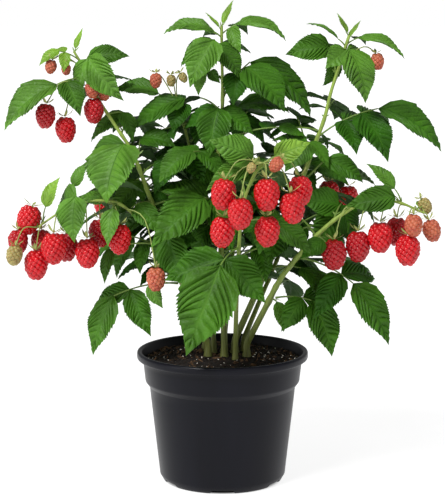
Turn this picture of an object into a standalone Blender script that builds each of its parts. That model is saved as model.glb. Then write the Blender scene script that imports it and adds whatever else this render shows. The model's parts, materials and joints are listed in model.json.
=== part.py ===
# Raspberry plant in a round nursery pot: nine canes from one root clump, with compound
# leaves, and fruit on short trusses. Metres, +Z up. The origin is the middle of the pot's
# flat underside, and the side with the front truss of fruit faces -Y.
import math
import random

import bmesh
import bpy
from mathutils import Vector
from mathutils.bvhtree import BVHTree
from mathutils.geometry import interpolate_bezier

MM = 0.001
UP = Vector((0.0, 0.0, 1.0))
FRONT = Vector((0.0, -1.0, 0.0))
GAP = 0.3 * MM  # between pieces that meet

# Pot and compost
POT_RADIUS = 95 * MM  # over the rolled rim
POT_HEIGHT = 146 * MM
POT_FOOT_RADIUS = 66 * MM
POT_WALL_RADIUS = 81.3 * MM  # where the plain wall meets the band
POT_BAND_RADIUS = 88.6 * MM  # the wider band, just under the rim
POT_WALL = 1.8 * MM
POT_FLOOR = 3.0 * MM
FOOT_CURVE = 10 * MM  # how high the wall's inside is rounded
POT_SIDES = 36
WALL_HEIGHT = 107.5 * MM
STEP_HEIGHT = 5.0 * MM
LIP_HEIGHT = 9 * MM
DRAIN_COUNT = 6
DRAIN_SIZE = (28 * MM, 24 * MM, 4.0 * MM)  # across, along the radius, high
SOIL_TOP = 140 * MM
SOIL_FLAT = 46 * MM  # the compost is level this far out, then dips towards the wall
SOIL_DIP = 4 * MM

# Canes and stalks
FLARE = 1.35  # the foot is this much thicker than the cane above it
FLARE_HEIGHT = 14 * MM
RING_SPACING = 32 * MM
STALK_RADIUS = 1.15 * MM
PEDICEL_RADIUS = 0.8 * MM
STALK_PIECES = 4
LONG_PIECE = 32 * MM  # a longer piece of stalk is halved, to follow its bend
PEDICEL_PIECES = 2

# Leaflets
WIDTH = 0.31  # half the width over the length
THICKNESS = 0.012  # over the length
RINGS = {  # how far along a blade its corners are
    4: (0.0, 0.17, 0.45, 0.74, 1.0),
    3: (0.0, 0.24, 0.62, 1.0),
    2: (0.0, 0.4, 1.0),
}
LARGE_BLADE = 54 * MM  # a longer blade in the outline has one more ring of corners
PAIR_SPREAD = 66  # degrees between a side leaflet and the leaf's axis
PAIR_SIZE = 0.8
LOW_PAIR_SIZE = 0.62
NODE_LENGTH = 2.6 * MM  # the part of a stalk that carries a pair of leaflets
PAIR_AT = 0.74  # where on the stalk a pair of leaflets sits
LOW_PAIR_AT = 0.46
CLEAR = 0.8 * MM  # room kept round each leaf

# Fruit
BERRY_STRETCH = 1.2  # length over width
BERRY_PROFILE = [(0.1, 0.8), (0.4, 1.0), (0.82, 0.68), (1.0, 0.22)]  # how far down, and how wide

# Tries for a leaflet whose first place is taken: turn, extra nod, size
TRIES = [
    (0, 0, 1.0), (9, 0, 1.0), (-9, 0, 1.0), (0, 14, 1.0), (0, -14, 1.0), (18, 8, 0.95), (-18, 8, 0.95),
    (0, 30, 0.92), (12, -18, 0.9), (-12, -18, 0.9), (26, 18, 0.85), (-26, 18, 0.85), (0, 0, 0.72),
    (20, -20, 0.7), (-20, -20, 0.7), (0, 40, 0.65), (0, 0, 0.5),
]
STALK_TURNS = (0, 24, -24, 48, -48, 75, -75)


def leaf(at, heading, rise, sag, stalk, blade, count=3, nod=65, lean=0.6, slim=1.0):
    # at: share of the way up the limb. heading: 0 to the right, 90 away from the front.
    # The stalk leaves at rise degrees above level and bends down by sag degrees.
    # stalk and blade are lengths in mm; nod is how far the blades curl down.
    return dict(at=at, heading=heading, rise=rise, sag=sag, stalk=stalk * MM, blade=blade * MM, count=count,
                nod=nod, lean=lean, slim=slim, hub=None, rings=2, spread=PAIR_SPREAD, pair=PAIR_SIZE,
                sides=(1, -1))


def reach(at, hub, tip, count=3, nod=50, lean=0.75, slim=1.0, spread=PAIR_SPREAD, pair=PAIR_SIZE,
          sides=(1, -1), sag=30):
    # a leaf that shows in the outline: its stalk ends at hub and its end leaflet at tip, in mm
    return dict(at=at, hub=Vector(hub) * MM, tip=Vector(tip) * MM, count=count, nod=nod, lean=lean, slim=slim,
                rings=3, spread=spread, pair=pair, sides=sides, sag=sag)


def fruit(at, x, y, z, width, stage, tilt=0):
    # a berry whose top is at x, y, z in mm; it hangs, tilted to the side by tilt degrees
    return dict(at=at, top=Vector((x, y, z)) * MM, width=width * MM, stage=stage, tilt=tilt)


def spiral(count, first, last, heading, blade, stalk, rise=38, sag=25):
    # leaves at the golden angle up a cane, smaller towards its tip
    leaves = []
    for i in range(count):
        share = i / (count - 1)
        size = blade * (1 - 0.35 * share)
        leaves.append(leaf(first + (last - first) * share, heading + 137.5 * i, rise + 12 * share, sag,
                           stalk * (1 - 0.5 * share), size, 5 if i % 3 == 0 else 3, 55 + 9 * (i % 3), 0.5))
    return leaves


# Each limb: its way points in mm, its thickness at the foot and tip in mm, and the share of it
# above which everything is one mass. "on" names the limb it springs from, and "at" where.
LIMBS = {
    "cane_centre": dict(
        ways=[(2, -10), (-1, -9, 250), (-6, -4, 350), (0, 0, 412), (-1, 0, 482), (-1, 0, 503)],
        thick=(7.4, 2.6), crown=0.70,
        leaves=[
            leaf(0.995, 35, 76, 5, 3, 28, 1, 12, 0.2, 0.62),
            leaf(0.985, 165, 60, 5, 3, 22, 1, 12, 0.2, 0.5),
            reach(0.90, (-9, -18, 489), (-35, -34, 438), nod=60, spread=56, slim=1.0, pair=0.85),
            reach(0.80, (24, -6, 459), (67, -26, 411), nod=60, sides=(1,), spread=80, slim=1.1, pair=0.7),
            reach(0.965, (-10, -2, 496), (-64, -8, 494), nod=85, lean=0.4, slim=0.8, pair=0.6),
            reach(0.975, (15, 0, 504), (69, -2, 486), nod=85, lean=0.4, slim=0.75, pair=0.62),
            reach(0.72, (-5, -14, 416), (-14, -36, 364), nod=50, slim=1.05),
            leaf(0.915, 92, 40, 30, 20, 48),
            reach(0.78, (30, 8, 464), (97, 18, 402), 1, nod=80, slim=0.7),
            reach(0.84, (-19, 12, 456), (-26, 12, 427), nod=50, pair=1.0, spread=72),
            reach(0.715, (17, 12, 415), (74, 12, 408), nod=70, lean=0.4),
            reach(0.44, (-19, -38, 321), (-76, -76, 272), nod=45, slim=0.9),
            leaf(0.58, 115, 42, 30, 42, 62, 5),
            leaf(0.50, 62, 30, 30, 46, 66, 3),
            leaf(0.36, 150, 20, 25, 54, 66, 3),
            leaf(0.60, 232, 30, 30, 30, 58, 3),
            leaf(0.32, 10, 20, 25, 34, 58, 3),
        ],
        berries=[],
    ),
    "cane_front": dict(
        ways=[(14, -24), (17, -45, 258), (23, -70, 322), (37, -96, 359), (42, -118, 366)],
        thick=(5.6, 2.6), crown=0.60,
        leaves=[
            reach(0.97, (32, -110, 371), (-14, -120, 390), 1, nod=45, lean=0.8, slim=1.05),
            reach(0.975, (53, -110, 372), (90, -117, 387), 1, nod=50, lean=0.8, slim=0.95),
            reach(0.93, (29, -102, 363), (-17, -108, 336), 1, nod=60, lean=0.6, slim=0.72),
            leaf(0.86, 60, 30, 20, 16, 44, 3),
            reach(0.50, (-2, -92, 256), (-38, -116, 164), nod=26, spread=50, pair=0.7),
            leaf(0.40, 170, 5, 30, 30, 58, 3),
            leaf(0.62, -20, 20, 30, 26, 54, 3),
        ],
        berries=[
            fruit(1.0, 3, -125, 352, 25, "ripe", 8), fruit(1.0, 1, -118, 311, 25, "ripe", 4),
            fruit(1.0, 18, -142, 333, 25, "ripe"), fruit(1.0, 45, -133, 352, 26, "ripe"),
            fruit(1.0, 46, -121, 312, 25, "ripe"), fruit(1.0, 69, -128, 337, 25, "ripe", -8),
            fruit(1.0, 79, -106, 352, 24, "ripe", -6), fruit(1.0, 60, -124, 374, 13, "orange", 40),
            fruit(0.93, 32, -130, 371, 9, "green", 30),
        ],
    ),
    "cane_right_front": dict(
        ways=[(27, -8), (50, -20, 203), (65, -28, 234), (82, -36, 257), (116, -40, 294),
              (160, -40, 319), (192, -40, 315), (217, -38, 304)],
        thick=(7.6, 2.2), crown=0.68,
        leaves=[
            reach(0.45, (141, -40, 228), (180, -48, 161), nod=45, slim=0.82),
            reach(0.25, (97, -34, 208), (119, -42, 147), nod=40, slim=0.95, pair=0.7),
            reach(0.235, (59, -28, 206), (67, -32, 172), 1, nod=30, slim=0.8),
            reach(0.64, (130, -12, 312), (95, -24, 264), nod=44, slim=1.12),
            reach(0.90, (185, -46, 323), (131, -50, 313), 1, nod=70, slim=0.8),
            reach(0.91, (185, -36, 330), (154, -32, 357), 1, nod=50, slim=0.7),
            leaf(0.97, 60, 45, 20, 4, 22, 1, 30, 0.5, 0.7),
            leaf(0.30, 70, 10, 20, 34, 56, 3, 50),
            leaf(0.40, 60, 20, 30, 30, 56, 3),
            leaf(0.56, -60, -10, 20, 10, 46, 3, 50),
            leaf(0.70, 70, 30, 30, 26, 48, 3),
        ],
        berries=[
            fruit(0.77, 120, -46, 277, 26, "dark"), fruit(0.83, 146, -40, 285, 26, "dark"),
            fruit(0.88, 169, -48, 296, 26, "ripe"), fruit(0.92, 189, -26, 298, 24, "dark"),
            fruit(0.95, 198, -54, 283, 26, "ripe"), fruit(0.97, 203, -58, 307, 19, "orange"),
            fruit(0.99, 222, -38, 297, 19, "orange", -16), fruit(1.0, 214, -34, 320, 14, "green", -30),
        ],
    ),
    "cane_right": dict(
        ways=[(14, 12), (44, 10, 223), (56, 12, 251), (80, 12, 312), (95, 8, 357), (113, 4, 408),
              (121, 0, 445), (134, 0, 479), (137, 0, 493)],
        thick=(7.8, 2.8), crown=0.65,
        leaves=[
            leaf(0.995, 150, 70, 5, 3, 26, 1, 12, 0.2, 0.6),
            leaf(0.985, 25, 62, 5, 3, 22, 1, 12, 0.2, 0.55),
            reach(0.935, (135, -12, 479), (153, -28, 421), nod=50, slim=1.12, pair=0.62),
            reach(0.87, (117, 6, 481), (68, 4, 472), 5, nod=80, pair=0.8, slim=0.9),
            reach(0.965, (125, 0, 489), (90, 0, 505), 1, nod=65, lean=0.3, slim=0.55),
            reach(0.97, (147, 0, 490), (197, -6, 467), nod=70, lean=0.4, slim=0.75, pair=0.62),
            leaf(0.93, 88, 40, 30, 18, 46),
            reach(0.60, (82, 22, 403), (90, 76, 388), spread=82, pair=0.95, nod=60, lean=0.3),
            reach(0.69, (169, -2, 414), (238, -10, 367), 5, nod=60, spread=46, lean=0.45, slim=0.92),
            reach(0.54, (112, -14, 360), (153, -14, 334), 1, nod=60, slim=0.85, sag=4),
            reach(0.48, (93, 36, 350), (140, 28, 326), nod=60, lean=0.5),
            leaf(0.74, 72, 38, 30, 38, 60, 5),
            leaf(0.52, 150, 30, 30, 34, 60, 3),
            leaf(0.46, 44, 30, 30, 46, 66, 3),
            leaf(0.40, 262, 26, 30, 30, 60, 3),
            leaf(0.34, 95, 30, 30, 48, 66, 5),
            leaf(0.66, 250, 30, 30, 22, 50, 3),
            leaf(0.27, -20, 20, 25, 34, 56, 3),
            reach(0.36, (134, -5, 308), (100, -8, 274), 1, nod=45, slim=1.15),
        ],
        berries=[fruit(0.93, 166, -4, 474, 14, "orange", -10)],
    ),
    "cane_left": dict(
        ways=[(-16, -6), (-41, -14, 216), (-68, -16, 288), (-90, -12, 348), (-104, -8, 378),
              (-129, -4, 414), (-145, 0, 448), (-161, 0, 476)],
        thick=(7.4, 2.4), crown=0.65,
        leaves=[
            leaf(0.995, 55, 72, 5, 3, 28, 1, 15, 0.2, 0.55),
            reach(0.97, (-176, -4, 476), (-198, -8, 460), nod=60, slim=0.85, pair=0.9),
            reach(0.94, (-144, -16, 471), (-105, -34, 424), nod=55, pair=0.72, slim=0.85),
            reach(0.91, (-178, -14, 441), (-234, -30, 392), nod=50, lean=0.5, sides=(-1,), pair=0.72,
                  spread=60, slim=0.92),
            leaf(0.86, 88, 40, 30, 22, 52),
            reach(0.79, (-105, 12, 408), (-141, 4, 373), nod=70, slim=0.8),
            reach(0.66, (-106, -30, 378), (-123, -62, 317), nod=50, slim=1.42, pair=0.7, spread=52,
                  sides=(1,)),
            leaf(0.72, 64, 48, 40, 26, 44),
            reach(0.54, (-90, 8, 334), (-120, 0, 294), nod=50),
            reach(0.24, (-118, -34, 213), (-141, -40, 148), nod=40, slim=0.8, spread=58),
            reach(0.40, (-58, -50, 280), (-41, -66, 233), nod=45, slim=1.12, pair=0.66),
            reach(0.36, (-121, -24, 264), (-128, -30, 225), 1, nod=35, slim=0.7),
            reach(0.27, (-78, -40, 228), (-64, -50, 202), 1, nod=40, slim=0.9),
            leaf(0.33, 128, 30, 30, 44, 66, 5),
            leaf(0.60, 112, 36, 30, 36, 62, 5),
            leaf(0.47, 20, 30, 30, 26, 54, 3),
            leaf(0.50, 235, 10, 30, 24, 54, 3),
            reach(0.61, (-90, 2, 380), (-50, -8, 372), 1, nod=60, lean=0.4, slim=1.1),
        ],
        berries=[
            fruit(0.88, -189, -22, 421, 21, "dark", 6), fruit(0.88, -171, -10, 406, 22, "ripe", -4),
            fruit(0.82, -139, -14, 426, 21, "dark"), fruit(0.86, -140, -24, 447, 15, "orange"),
            fruit(0.85, -128, -12, 442, 14, "orange"), fruit(0.94, -184, -10, 468, 12, "orange", 10),
            fruit(0.94, -169, -8, 464, 10, "orange"),
        ],
    ),
    "cane_left_centre": dict(
        ways=[(-10, 12), (-20, 16, 244), (-29, 22, 322), (-36, 22, 370), (-44, 20, 397), (-50, 20, 418)],
        thick=(6.2, 2.4), crown=0.70,
        leaves=[
            reach(0.95, (-41, 14, 424), (-100, 6, 388), nod=50, lean=0.55, pair=0.66, slim=0.95),
            reach(0.93, (-70, 30, 428), (-122, 30, 430), nod=60, lean=0.4),
            leaf(0.90, 10, 32, 25, 14, 46, 3, 60),
            leaf(0.88, 98, 40, 30, 22, 56, 3),
            reach(0.76, (-41, 0, 368), (-74, -22, 322), nod=50),
            leaf(0.74, -30, 20, 30, 20, 54, 3),
            leaf(0.55, 190, 20, 25, 30, 64, 3),
            leaf(0.52, -60, 10, 30, 18, 56, 3),
            leaf(0.42, 120, 30, 30, 44, 66, 3),
        ],
        berries=[fruit(1.0, -73, 14, 452, 13, "orange"), fruit(1.0, -56, 12, 450, 10, "green"),
                 fruit(1.0, -46, 14, 452, 9, "green", -30)],
    ),
    "cane_back": dict(
        ways=[(2, 26), (12, 66, 250), (20, 108, 344), (24, 134, 396)],
        thick=(6.6, 2.4), crown=0.30, leaves=spiral(9, 0.34, 0.98, 60, 74, 44), berries=[],
    ),
    "cane_back_left": dict(
        ways=[(-20, 22), (-54, 70, 228), (-92, 112, 306), (-112, 134, 350)],
        thick=(6.2, 2.2), crown=0.30, leaves=spiral(8, 0.34, 0.98, 140, 74, 42),
        berries=[fruit(0.9, -112, 92, 318, 24, "ripe"), fruit(0.9, -138, 110, 310, 23, "ripe")],
    ),
    "cane_back_right": dict(
        ways=[(24, 20), (62, 66, 236), (100, 106, 318), (118, 128, 360)],
        thick=(6.2, 2.2), crown=0.30, leaves=spiral(8, 0.34, 0.98, 20, 74, 42),
        berries=[fruit(0.9, 122, 84, 326, 24, "ripe"), fruit(0.9, 146, 104, 318, 23, "ripe")],
    ),
    "bough_left": dict(
        on="cane_left", at=0.42,
        ways=[(-81, -28, 288), (-100, -45, 309), (-121, -50, 319), (-151, -52, 317),
              (-176, -50, 305), (-198, -48, 290)],
        thick=(3.6, 2.0), crown=0.30,
        leaves=[
            reach(0.66, (-155, -66, 326), (-156, -76, 277), nod=40, slim=1.25, sides=(1,), spread=75),
            reach(0.95, (-189, -50, 312), (-173, -46, 344), 1, nod=50, slim=0.85),
            reach(0.36, (-125, -45, 322), (-154, -52, 332), 1, nod=60, slim=0.8),
            leaf(0.40, -112, -8, 30, 10, 44, 1, 40, 0.6, 0.8),
            leaf(0.50, 84, 40, 30, 22, 52, 3),
            reach(0.72, (-160, -40, 333), (-144, -38, 360), 1, nod=30, slim=0.9),
        ],
        berries=[
            fruit(0.34, -71, -62, 249, 20, "orange"), fruit(0.95, -196, -32, 286, 22, "dark"),
            fruit(0.46, -110, -58, 295, 25, "ripe"), fruit(0.52, -132, -38, 298, 24, "dark"),
            fruit(0.62, -144, -60, 280, 25, "ripe"), fruit(0.78, -179, -68, 287, 26, "ripe"),
            fruit(0.78, -168, -42, 283, 24, "dark"), fruit(0.90, -199, -58, 267, 25, "ripe"),
            fruit(1.0, -204, -42, 313, 25, "ripe", 14), fruit(1.0, -219, -46, 289, 21, "dark"),
            fruit(1.0, -219, -70, 274, 17, "green", 8),
        ],
    ),
}


def direction(heading, rise):
    across, height = math.radians(heading), math.radians(rise)
    level = math.cos(height)
    return Vector((math.cos(across) * level, math.sin(across) * level, math.sin(height)))


def square_to(vector, axis):
    # the part of a vector that is square to an axis, at length 1
    rest = vector - vector.dot(axis) * axis
    return rest.normalized() if rest.length > 1e-6 else axis.orthogonal().normalized()


class Arc:
    # A stalk or a midrib: it starts along ahead and bends away from its face by bend radians.
    def __init__(self, start, ahead, face, length, bend):
        self.start, self.ahead, self.length = start, ahead, length
        self.face = square_to(face, ahead)
        self.bend = bend if abs(bend) > 1e-4 else 1e-4

    def point(self, share):
        turned = self.bend * share
        reach = self.ahead * math.sin(turned) - self.face * (1 - math.cos(turned))
        return self.start + self.length / self.bend * reach

    def axes(self, share):
        # ahead, face and side at a place on the arc
        turned = self.bend * share
        ahead = self.ahead * math.cos(turned) - self.face * math.sin(turned)
        face = self.face * math.cos(turned) + self.ahead * math.sin(turned)
        return ahead, face, ahead.cross(face)


def smooth_line(ways, pieces=4):
    ends = [2 * ways[0] - ways[1], *ways, 2 * ways[-1] - ways[-2]]
    line = []
    for i in range(len(ways) - 1):
        a, b, c, d = ends[i:i + 4]
        for k in range(pieces):
            t = k / pieces
            line.append(0.5 * (2 * b + (c - a) * t + (2 * a - 5 * b + 4 * c - d) * t ** 2
                               + (3 * b - a - 3 * c + d) * t ** 3))
    return [*line, ways[-1]]


class Limb:
    # A cane or a bough: a smooth line that tapers from its foot to its tip.
    def __init__(self, line, thick_foot, thick_tip, flared):
        self.line = line
        self.foot, self.tip, self.flared = thick_foot / 2, thick_tip / 2, flared
        self.along = [0.0]
        for a, b in zip(line, line[1:]):
            self.along.append(self.along[-1] + (b - a).length)
        self.length = self.along[-1]

    def point(self, share):
        wanted = min(max(share, 0.0), 1.0) * self.length
        i = next(k for k in range(1, len(self.along)) if self.along[k] >= wanted - 1e-9)
        part = (wanted - self.along[i - 1]) / (self.along[i] - self.along[i - 1])
        return self.line[i - 1].lerp(self.line[i], part)

    def ahead(self, share):
        return (self.point(min(1.0, share + 0.02)) - self.point(max(0.0, share - 0.02))).normalized()

    def radius(self, share):
        plain = self.foot + (self.tip - self.foot) * share
        near = max(0.0, 1 - share * self.length / FLARE_HEIGHT) if self.flared else 0.0
        return plain * (1 + (FLARE - 1) * near ** 2)


def grow_limbs():
    limbs = {}
    for name, habit in LIMBS.items():
        ways = [Vector(way) * MM for way in habit["ways"] if len(way) == 3]
        thick_foot, thick_tip = (value * MM for value in habit["thick"])
        if "on" in habit:
            bearer = limbs[habit["on"]]
            start = bearer.point(habit["at"])
            out = (ways[0] - start).normalized()
            slant = max(0.35, math.sqrt(max(0.0, 1 - out.dot(bearer.ahead(habit["at"])) ** 2)))
            corner = thick_foot / 2 * math.sqrt(1 - slant ** 2)
            clear = (bearer.radius(habit["at"]) + 2 * GAP + corner) / slant
            ways = [start + out * clear, start + out * (clear + 3 * MM), *ways]
        else:
            x, y = habit["ways"][0]
            foot = Vector((x * MM, y * MM, SOIL_TOP + GAP))
            ways = [foot, foot + UP * FLARE_HEIGHT / 2, foot + UP * FLARE_HEIGHT, *ways]
        fine = Limb(smooth_line(ways), thick_foot, thick_tip, False)
        rings = max(4, round(fine.length / RING_SPACING))
        line = [fine.point(i / rings) for i in range(rings + 1)]
        if "on" not in habit:
            line = [foot, foot + UP * FLARE_HEIGHT / 3, foot + UP * FLARE_HEIGHT, *line[1:]]
        limbs[name] = Limb(line, thick_foot, thick_tip, "on" not in habit)
    return limbs


def half_width(share):
    # an egg-shaped outline with a drawn-out tip, 1 at its widest
    return 3.31 * share ** 0.65 * (1 - share) ** 1.22


def blade_station(blade, share, grow=0.0):
    # the cross-section of a leaflet: its middle, its two directions and its half sizes
    _, face, side = blade["arc"].axes(share)
    wide = blade["width"] * half_width(share) + grow
    return blade["arc"].point(share), side, face, wide, THICKNESS * blade["length"] / 2 + grow


def corners_of(station):
    middle, side, face, wide, thick = station
    return [middle + side * (a * wide) + face * (b * thick) for a, b in ((-1, -1), (1, -1), (1, 1), (-1, 1))]


def blade_skin(blade, grow=0.0):
    # a leaflet's skin without its narrow root, only to test what it would touch
    _, face, side = blade["arc"].axes(0.09)
    root = (blade["arc"].point(0.09), side, face, 0.4 * blade["width"], STALK_RADIUS)
    verts, faces = corners_of(root), []
    for share in RINGS[4][1:-1]:
        verts += corners_of(blade_station(blade, share, grow))
    verts.append(blade["arc"].point(1.0) + blade["arc"].axes(1.0)[0] * grow)
    for i in range(len(verts) // 4 - 1):
        for k in range(4):
            a, b = 4 * i + k, 4 * i + (k + 1) % 4
            faces.append((a, b, b + 4, a + 4))
    last = len(verts) - 1
    faces += [(last - 4 + k, last - 4 + (k + 1) % 4, last) for k in range(4)]
    faces.append((3, 2, 1, 0))
    return Room.shape(verts, faces)


def berry_solid(berry, grow=0.0):
    # egg-shaped, hanging by its broad end
    solid = bmesh.new()
    bmesh.ops.create_uvsphere(solid, u_segments=6, v_segments=4, radius=1.0)
    half = berry["width"] / 2
    turn = UP.rotation_difference(berry["up"])
    for vertex in solid.verts:
        x, y, z = vertex.co
        broad = (1.0 + 0.14 * z) * (half + grow)
        shaped = Vector((x * broad, y * broad, z * (half * BERRY_STRETCH + grow)))
        vertex.co = berry["centre"] + turn @ shaped
    return solid


def tube_skin(points, radius):
    # a plain three-sided tube round a line, only to test what it would touch
    verts, faces = [], []
    for i, point in enumerate(points):
        ahead = (points[min(i + 1, len(points) - 1)] - points[max(i - 1, 0)]).normalized()
        one = ahead.orthogonal().normalized() * radius
        two = ahead.cross(one)
        for k in range(3):
            turned = 2 * math.pi * k / 3
            verts.append(point + one * math.cos(turned) + two * math.sin(turned))
    for i in range(len(points) - 1):
        for k in range(3):
            a, b = 3 * i + k, 3 * i + (k + 1) % 3
            faces.append((a, b, b + 3, a + 3))
    return verts, faces


class Room:
    # What already stands in the crown, so that nothing else grows through it.
    def __init__(self):
        self.held = []

    @staticmethod
    def shape(verts, faces):
        low = Vector(min(v[i] for v in verts) for i in range(3))
        high = Vector(max(v[i] for v in verts) for i in range(3))
        return BVHTree.FromPolygons(verts, faces), low, high

    def free(self, shape, beside=()):
        tree, low, high = shape
        for other, other_low, other_high, owner in self.held:
            if owner in beside:
                continue
            apart = any(low[i] > other_high[i] or high[i] < other_low[i] for i in range(3))
            if not apart and tree.overlap(other):
                return False
        return True

    def take(self, shape, owner):
        self.held.append((*shape, owner))


def solid_shape(solid):
    verts = [vertex.co.copy() for vertex in solid.verts]
    faces = [tuple(vertex.index for vertex in face.verts) for face in solid.faces]
    solid.free()
    return Room.shape(verts, faces)


def stalk_shape(stalk, grow, first=0.0):
    points = [stalk.point(first + (1 - first) * i / STALK_PIECES) for i in range(STALK_PIECES + 1)]
    return Room.shape(*tube_skin(points, STALK_RADIUS + grow))


def open_side(place):
    # the side that a leaf turns its face to: outwards, and in front towards the light
    out = Vector((place.x, place.y, 0.0))
    out = out.normalized() if out.length > 1e-4 else FRONT.copy()
    return (out * 0.7 + FRONT * 0.9).normalized() if place.y < 45 * MM else out


def chord_arc(start, end, face, bend):
    # an arc from start to end that bows towards its face
    chord = (end - start).normalized()
    face = square_to(face, chord)
    ahead = chord * math.cos(bend / 2) + face * math.sin(bend / 2)
    length = (end - start).length * (bend / 2) / math.sin(bend / 2)
    return Arc(start, ahead, face, length, bend)


def leaf_stalk(limb, habit, fused, turn):
    # a fused stalk starts inside its limb, and another one a hair clear of the bark
    centre = limb.point(habit["at"])
    if habit["hub"]:
        ahead = chord_arc(centre, habit["hub"], UP, math.radians(habit["sag"])).ahead
    else:
        ahead = direction(habit["heading"] + turn, habit["rise"])
    along = limb.ahead(habit["at"])
    slant = max(0.4, math.sqrt(max(0.0, 1 - ahead.dot(along) ** 2)))
    corner = 1.45 * STALK_RADIUS
    clear = (limb.radius(habit["at"]) + 2 * GAP + corner * math.sqrt(1 - slant ** 2)) / slant
    start = centre + ahead * (0.0 if fused else clear)
    bend = math.radians(habit["sag"])
    if habit["hub"]:
        return chord_arc(start, habit["hub"], UP, bend)
    face = UP if habit["rise"] < 75 else -direction(habit["heading"], 0)
    length = habit["stalk"] * (1.0 if habit["count"] == 1 else 1.35)
    length += limb.radius(habit["at"]) if fused else 0.0
    return Arc(start, ahead, face, length, bend)


def leaf_blades(stalk, habit, seed):
    # the leaflets of one compound leaf: one at the end, then one or two pairs
    chance = random.Random(seed)
    places = [(1.0, 0.0, 1.0)]
    if habit["count"] >= 3:
        places += [(PAIR_AT, side * habit["spread"], habit["pair"]) for side in habit["sides"]]
    if habit["count"] >= 5:
        places += [(LOW_PAIR_AT, side * (habit["spread"] + 12), LOW_PAIR_SIZE) for side in habit["sides"]]
    hub = stalk.point(1.0)
    light = open_side(hub)
    if habit["hub"]:
        face = UP * (1 - habit["lean"]) + light * habit["lean"]
        main = chord_arc(hub, habit["tip"], face, math.radians(habit["nod"]))
        ahead, face, length = main.ahead, main.face, main.length
    else:
        ahead, face, _ = stalk.axes(1.0)
        face = square_to(face * 0.9 + light * habit["lean"], ahead)
        # a quarter of the nod is taken at the blade's base, and the rest along its length
        base = math.radians(habit["nod"] * 0.25)
        ahead, face = (ahead * math.cos(base) - face * math.sin(base),
                       face * math.cos(base) + ahead * math.sin(base))
        length = habit["blade"]
    blades = []
    nod = habit["nod"] * (1.0 if habit["hub"] else 0.75)
    for at, turn, size in places:
        loose = turn != 0.0 or not habit["hub"]
        blades.append(dict(
            at=at, place=stalk.point(at), ahead=ahead, face=face, slim=habit["slim"],
            turn=turn + chance.uniform(-7, 7) * loose,
            size=length * size * (chance.uniform(0.94, 1.05) if loose else 1.0),
            nod=nod * (chance.uniform(0.85, 1.15) if loose else 1.0),
            roll=chance.uniform(-10, 10) * loose,
            rings=habit["rings"] + (habit["rings"] == 3 and length * size > LARGE_BLADE)))
    return blades


def place_blade(plan, tried):
    turn, nod, size = tried
    side = plan["ahead"].cross(plan["face"])
    rolled = math.radians(plan["roll"])
    face = plan["face"] * math.cos(rolled) + side * math.sin(rolled)
    side = plan["ahead"].cross(face)
    swung = math.radians(plan["turn"] + turn)
    ahead = plan["ahead"] * math.cos(swung) + side * math.sin(swung)
    length = plan["size"] * size
    arc = Arc(plan["place"], ahead, face, length, math.radians(plan["nod"] + nod))
    width = length * WIDTH * plan["slim"]
    return dict(arc=arc, length=length, width=width, rings=plan["rings"], at=plan["at"])


def grow_leaf(limb, limb_name, habit, room, owner, seed):
    fused = owner.startswith("crown")
    for turn in STALK_TURNS:
        stalk = leaf_stalk(limb, habit, fused, turn)
        outer = stalk_shape(stalk, 0.2 * CLEAR, min(0.5, 5 * MM / stalk.length))
        apart = room.free(stalk_shape(stalk, CLEAR), (limb_name, owner))
        if apart and (fused or room.free(outer, (owner,))):
            break
    else:
        return None
    grown, own = [], Room()
    for plan in leaf_blades(stalk, habit, seed):
        for tried in TRIES:
            blade = place_blade(plan, tried)
            lowest = min(blade["arc"].point(1.0).z, blade["arc"].point(0.6).z)
            shape = blade_skin(blade, CLEAR)
            beside = (limb_name, owner) if fused and habit["count"] == 1 else ()
            if lowest > SOIL_TOP + 4 * MM and room.free(shape, beside) and own.free(shape):
                grown.append(blade)
                own.take(blade_skin(blade), owner)
                break
    if not grown:
        return None
    room.take(stalk_shape(stalk, 0.0), owner)
    for blade in grown:
        room.take(blade_skin(blade), owner)
    return dict(stalk=stalk, blades=grown, at=habit["at"])


def pedicel_line(start, berry):
    # the fruit's stalk leaves the limb, then bends over and hangs
    end = berry["top"]
    span = max(8 * MM, (end - start).length)
    out = Vector((end.x - start.x, end.y - start.y, 0.0))
    lift = UP * (0.25 * span) + out * 0.45
    above = end + berry["up"] * 0.45 * span
    return interpolate_bezier(start, start + lift, above, end, PEDICEL_PIECES + 1)


def grow_berry(limb, habit, room, owner):
    half = habit["width"] / 2 * BERRY_STRETCH
    tilt = math.radians(habit["tilt"])
    up = Vector((math.sin(tilt), 0.0, math.cos(tilt)))
    start = limb.point(habit["at"])
    for nudge in (0, 3, -3, 6, -6, 9):
        top = habit["top"] + FRONT * (nudge * MM) + UP * (-abs(nudge) * 0.3 * MM)
        berry = dict(top=top, up=up, centre=top - up * half, width=habit["width"], stage=habit["stage"])
        if room.free(solid_shape(berry_solid(berry, CLEAR))):
            room.take(solid_shape(berry_solid(berry)), owner)
            berry["stalk"] = pedicel_line(start, berry)
            room.take(Room.shape(*tube_skin(berry["stalk"], PEDICEL_RADIUS)), owner)
            return berry
    return None


def short_name(limb_name):
    return limb_name.removeprefix("cane_")


def crown_name(limb_name):
    return f"crown_{short_name(limb_name)}"


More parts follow.
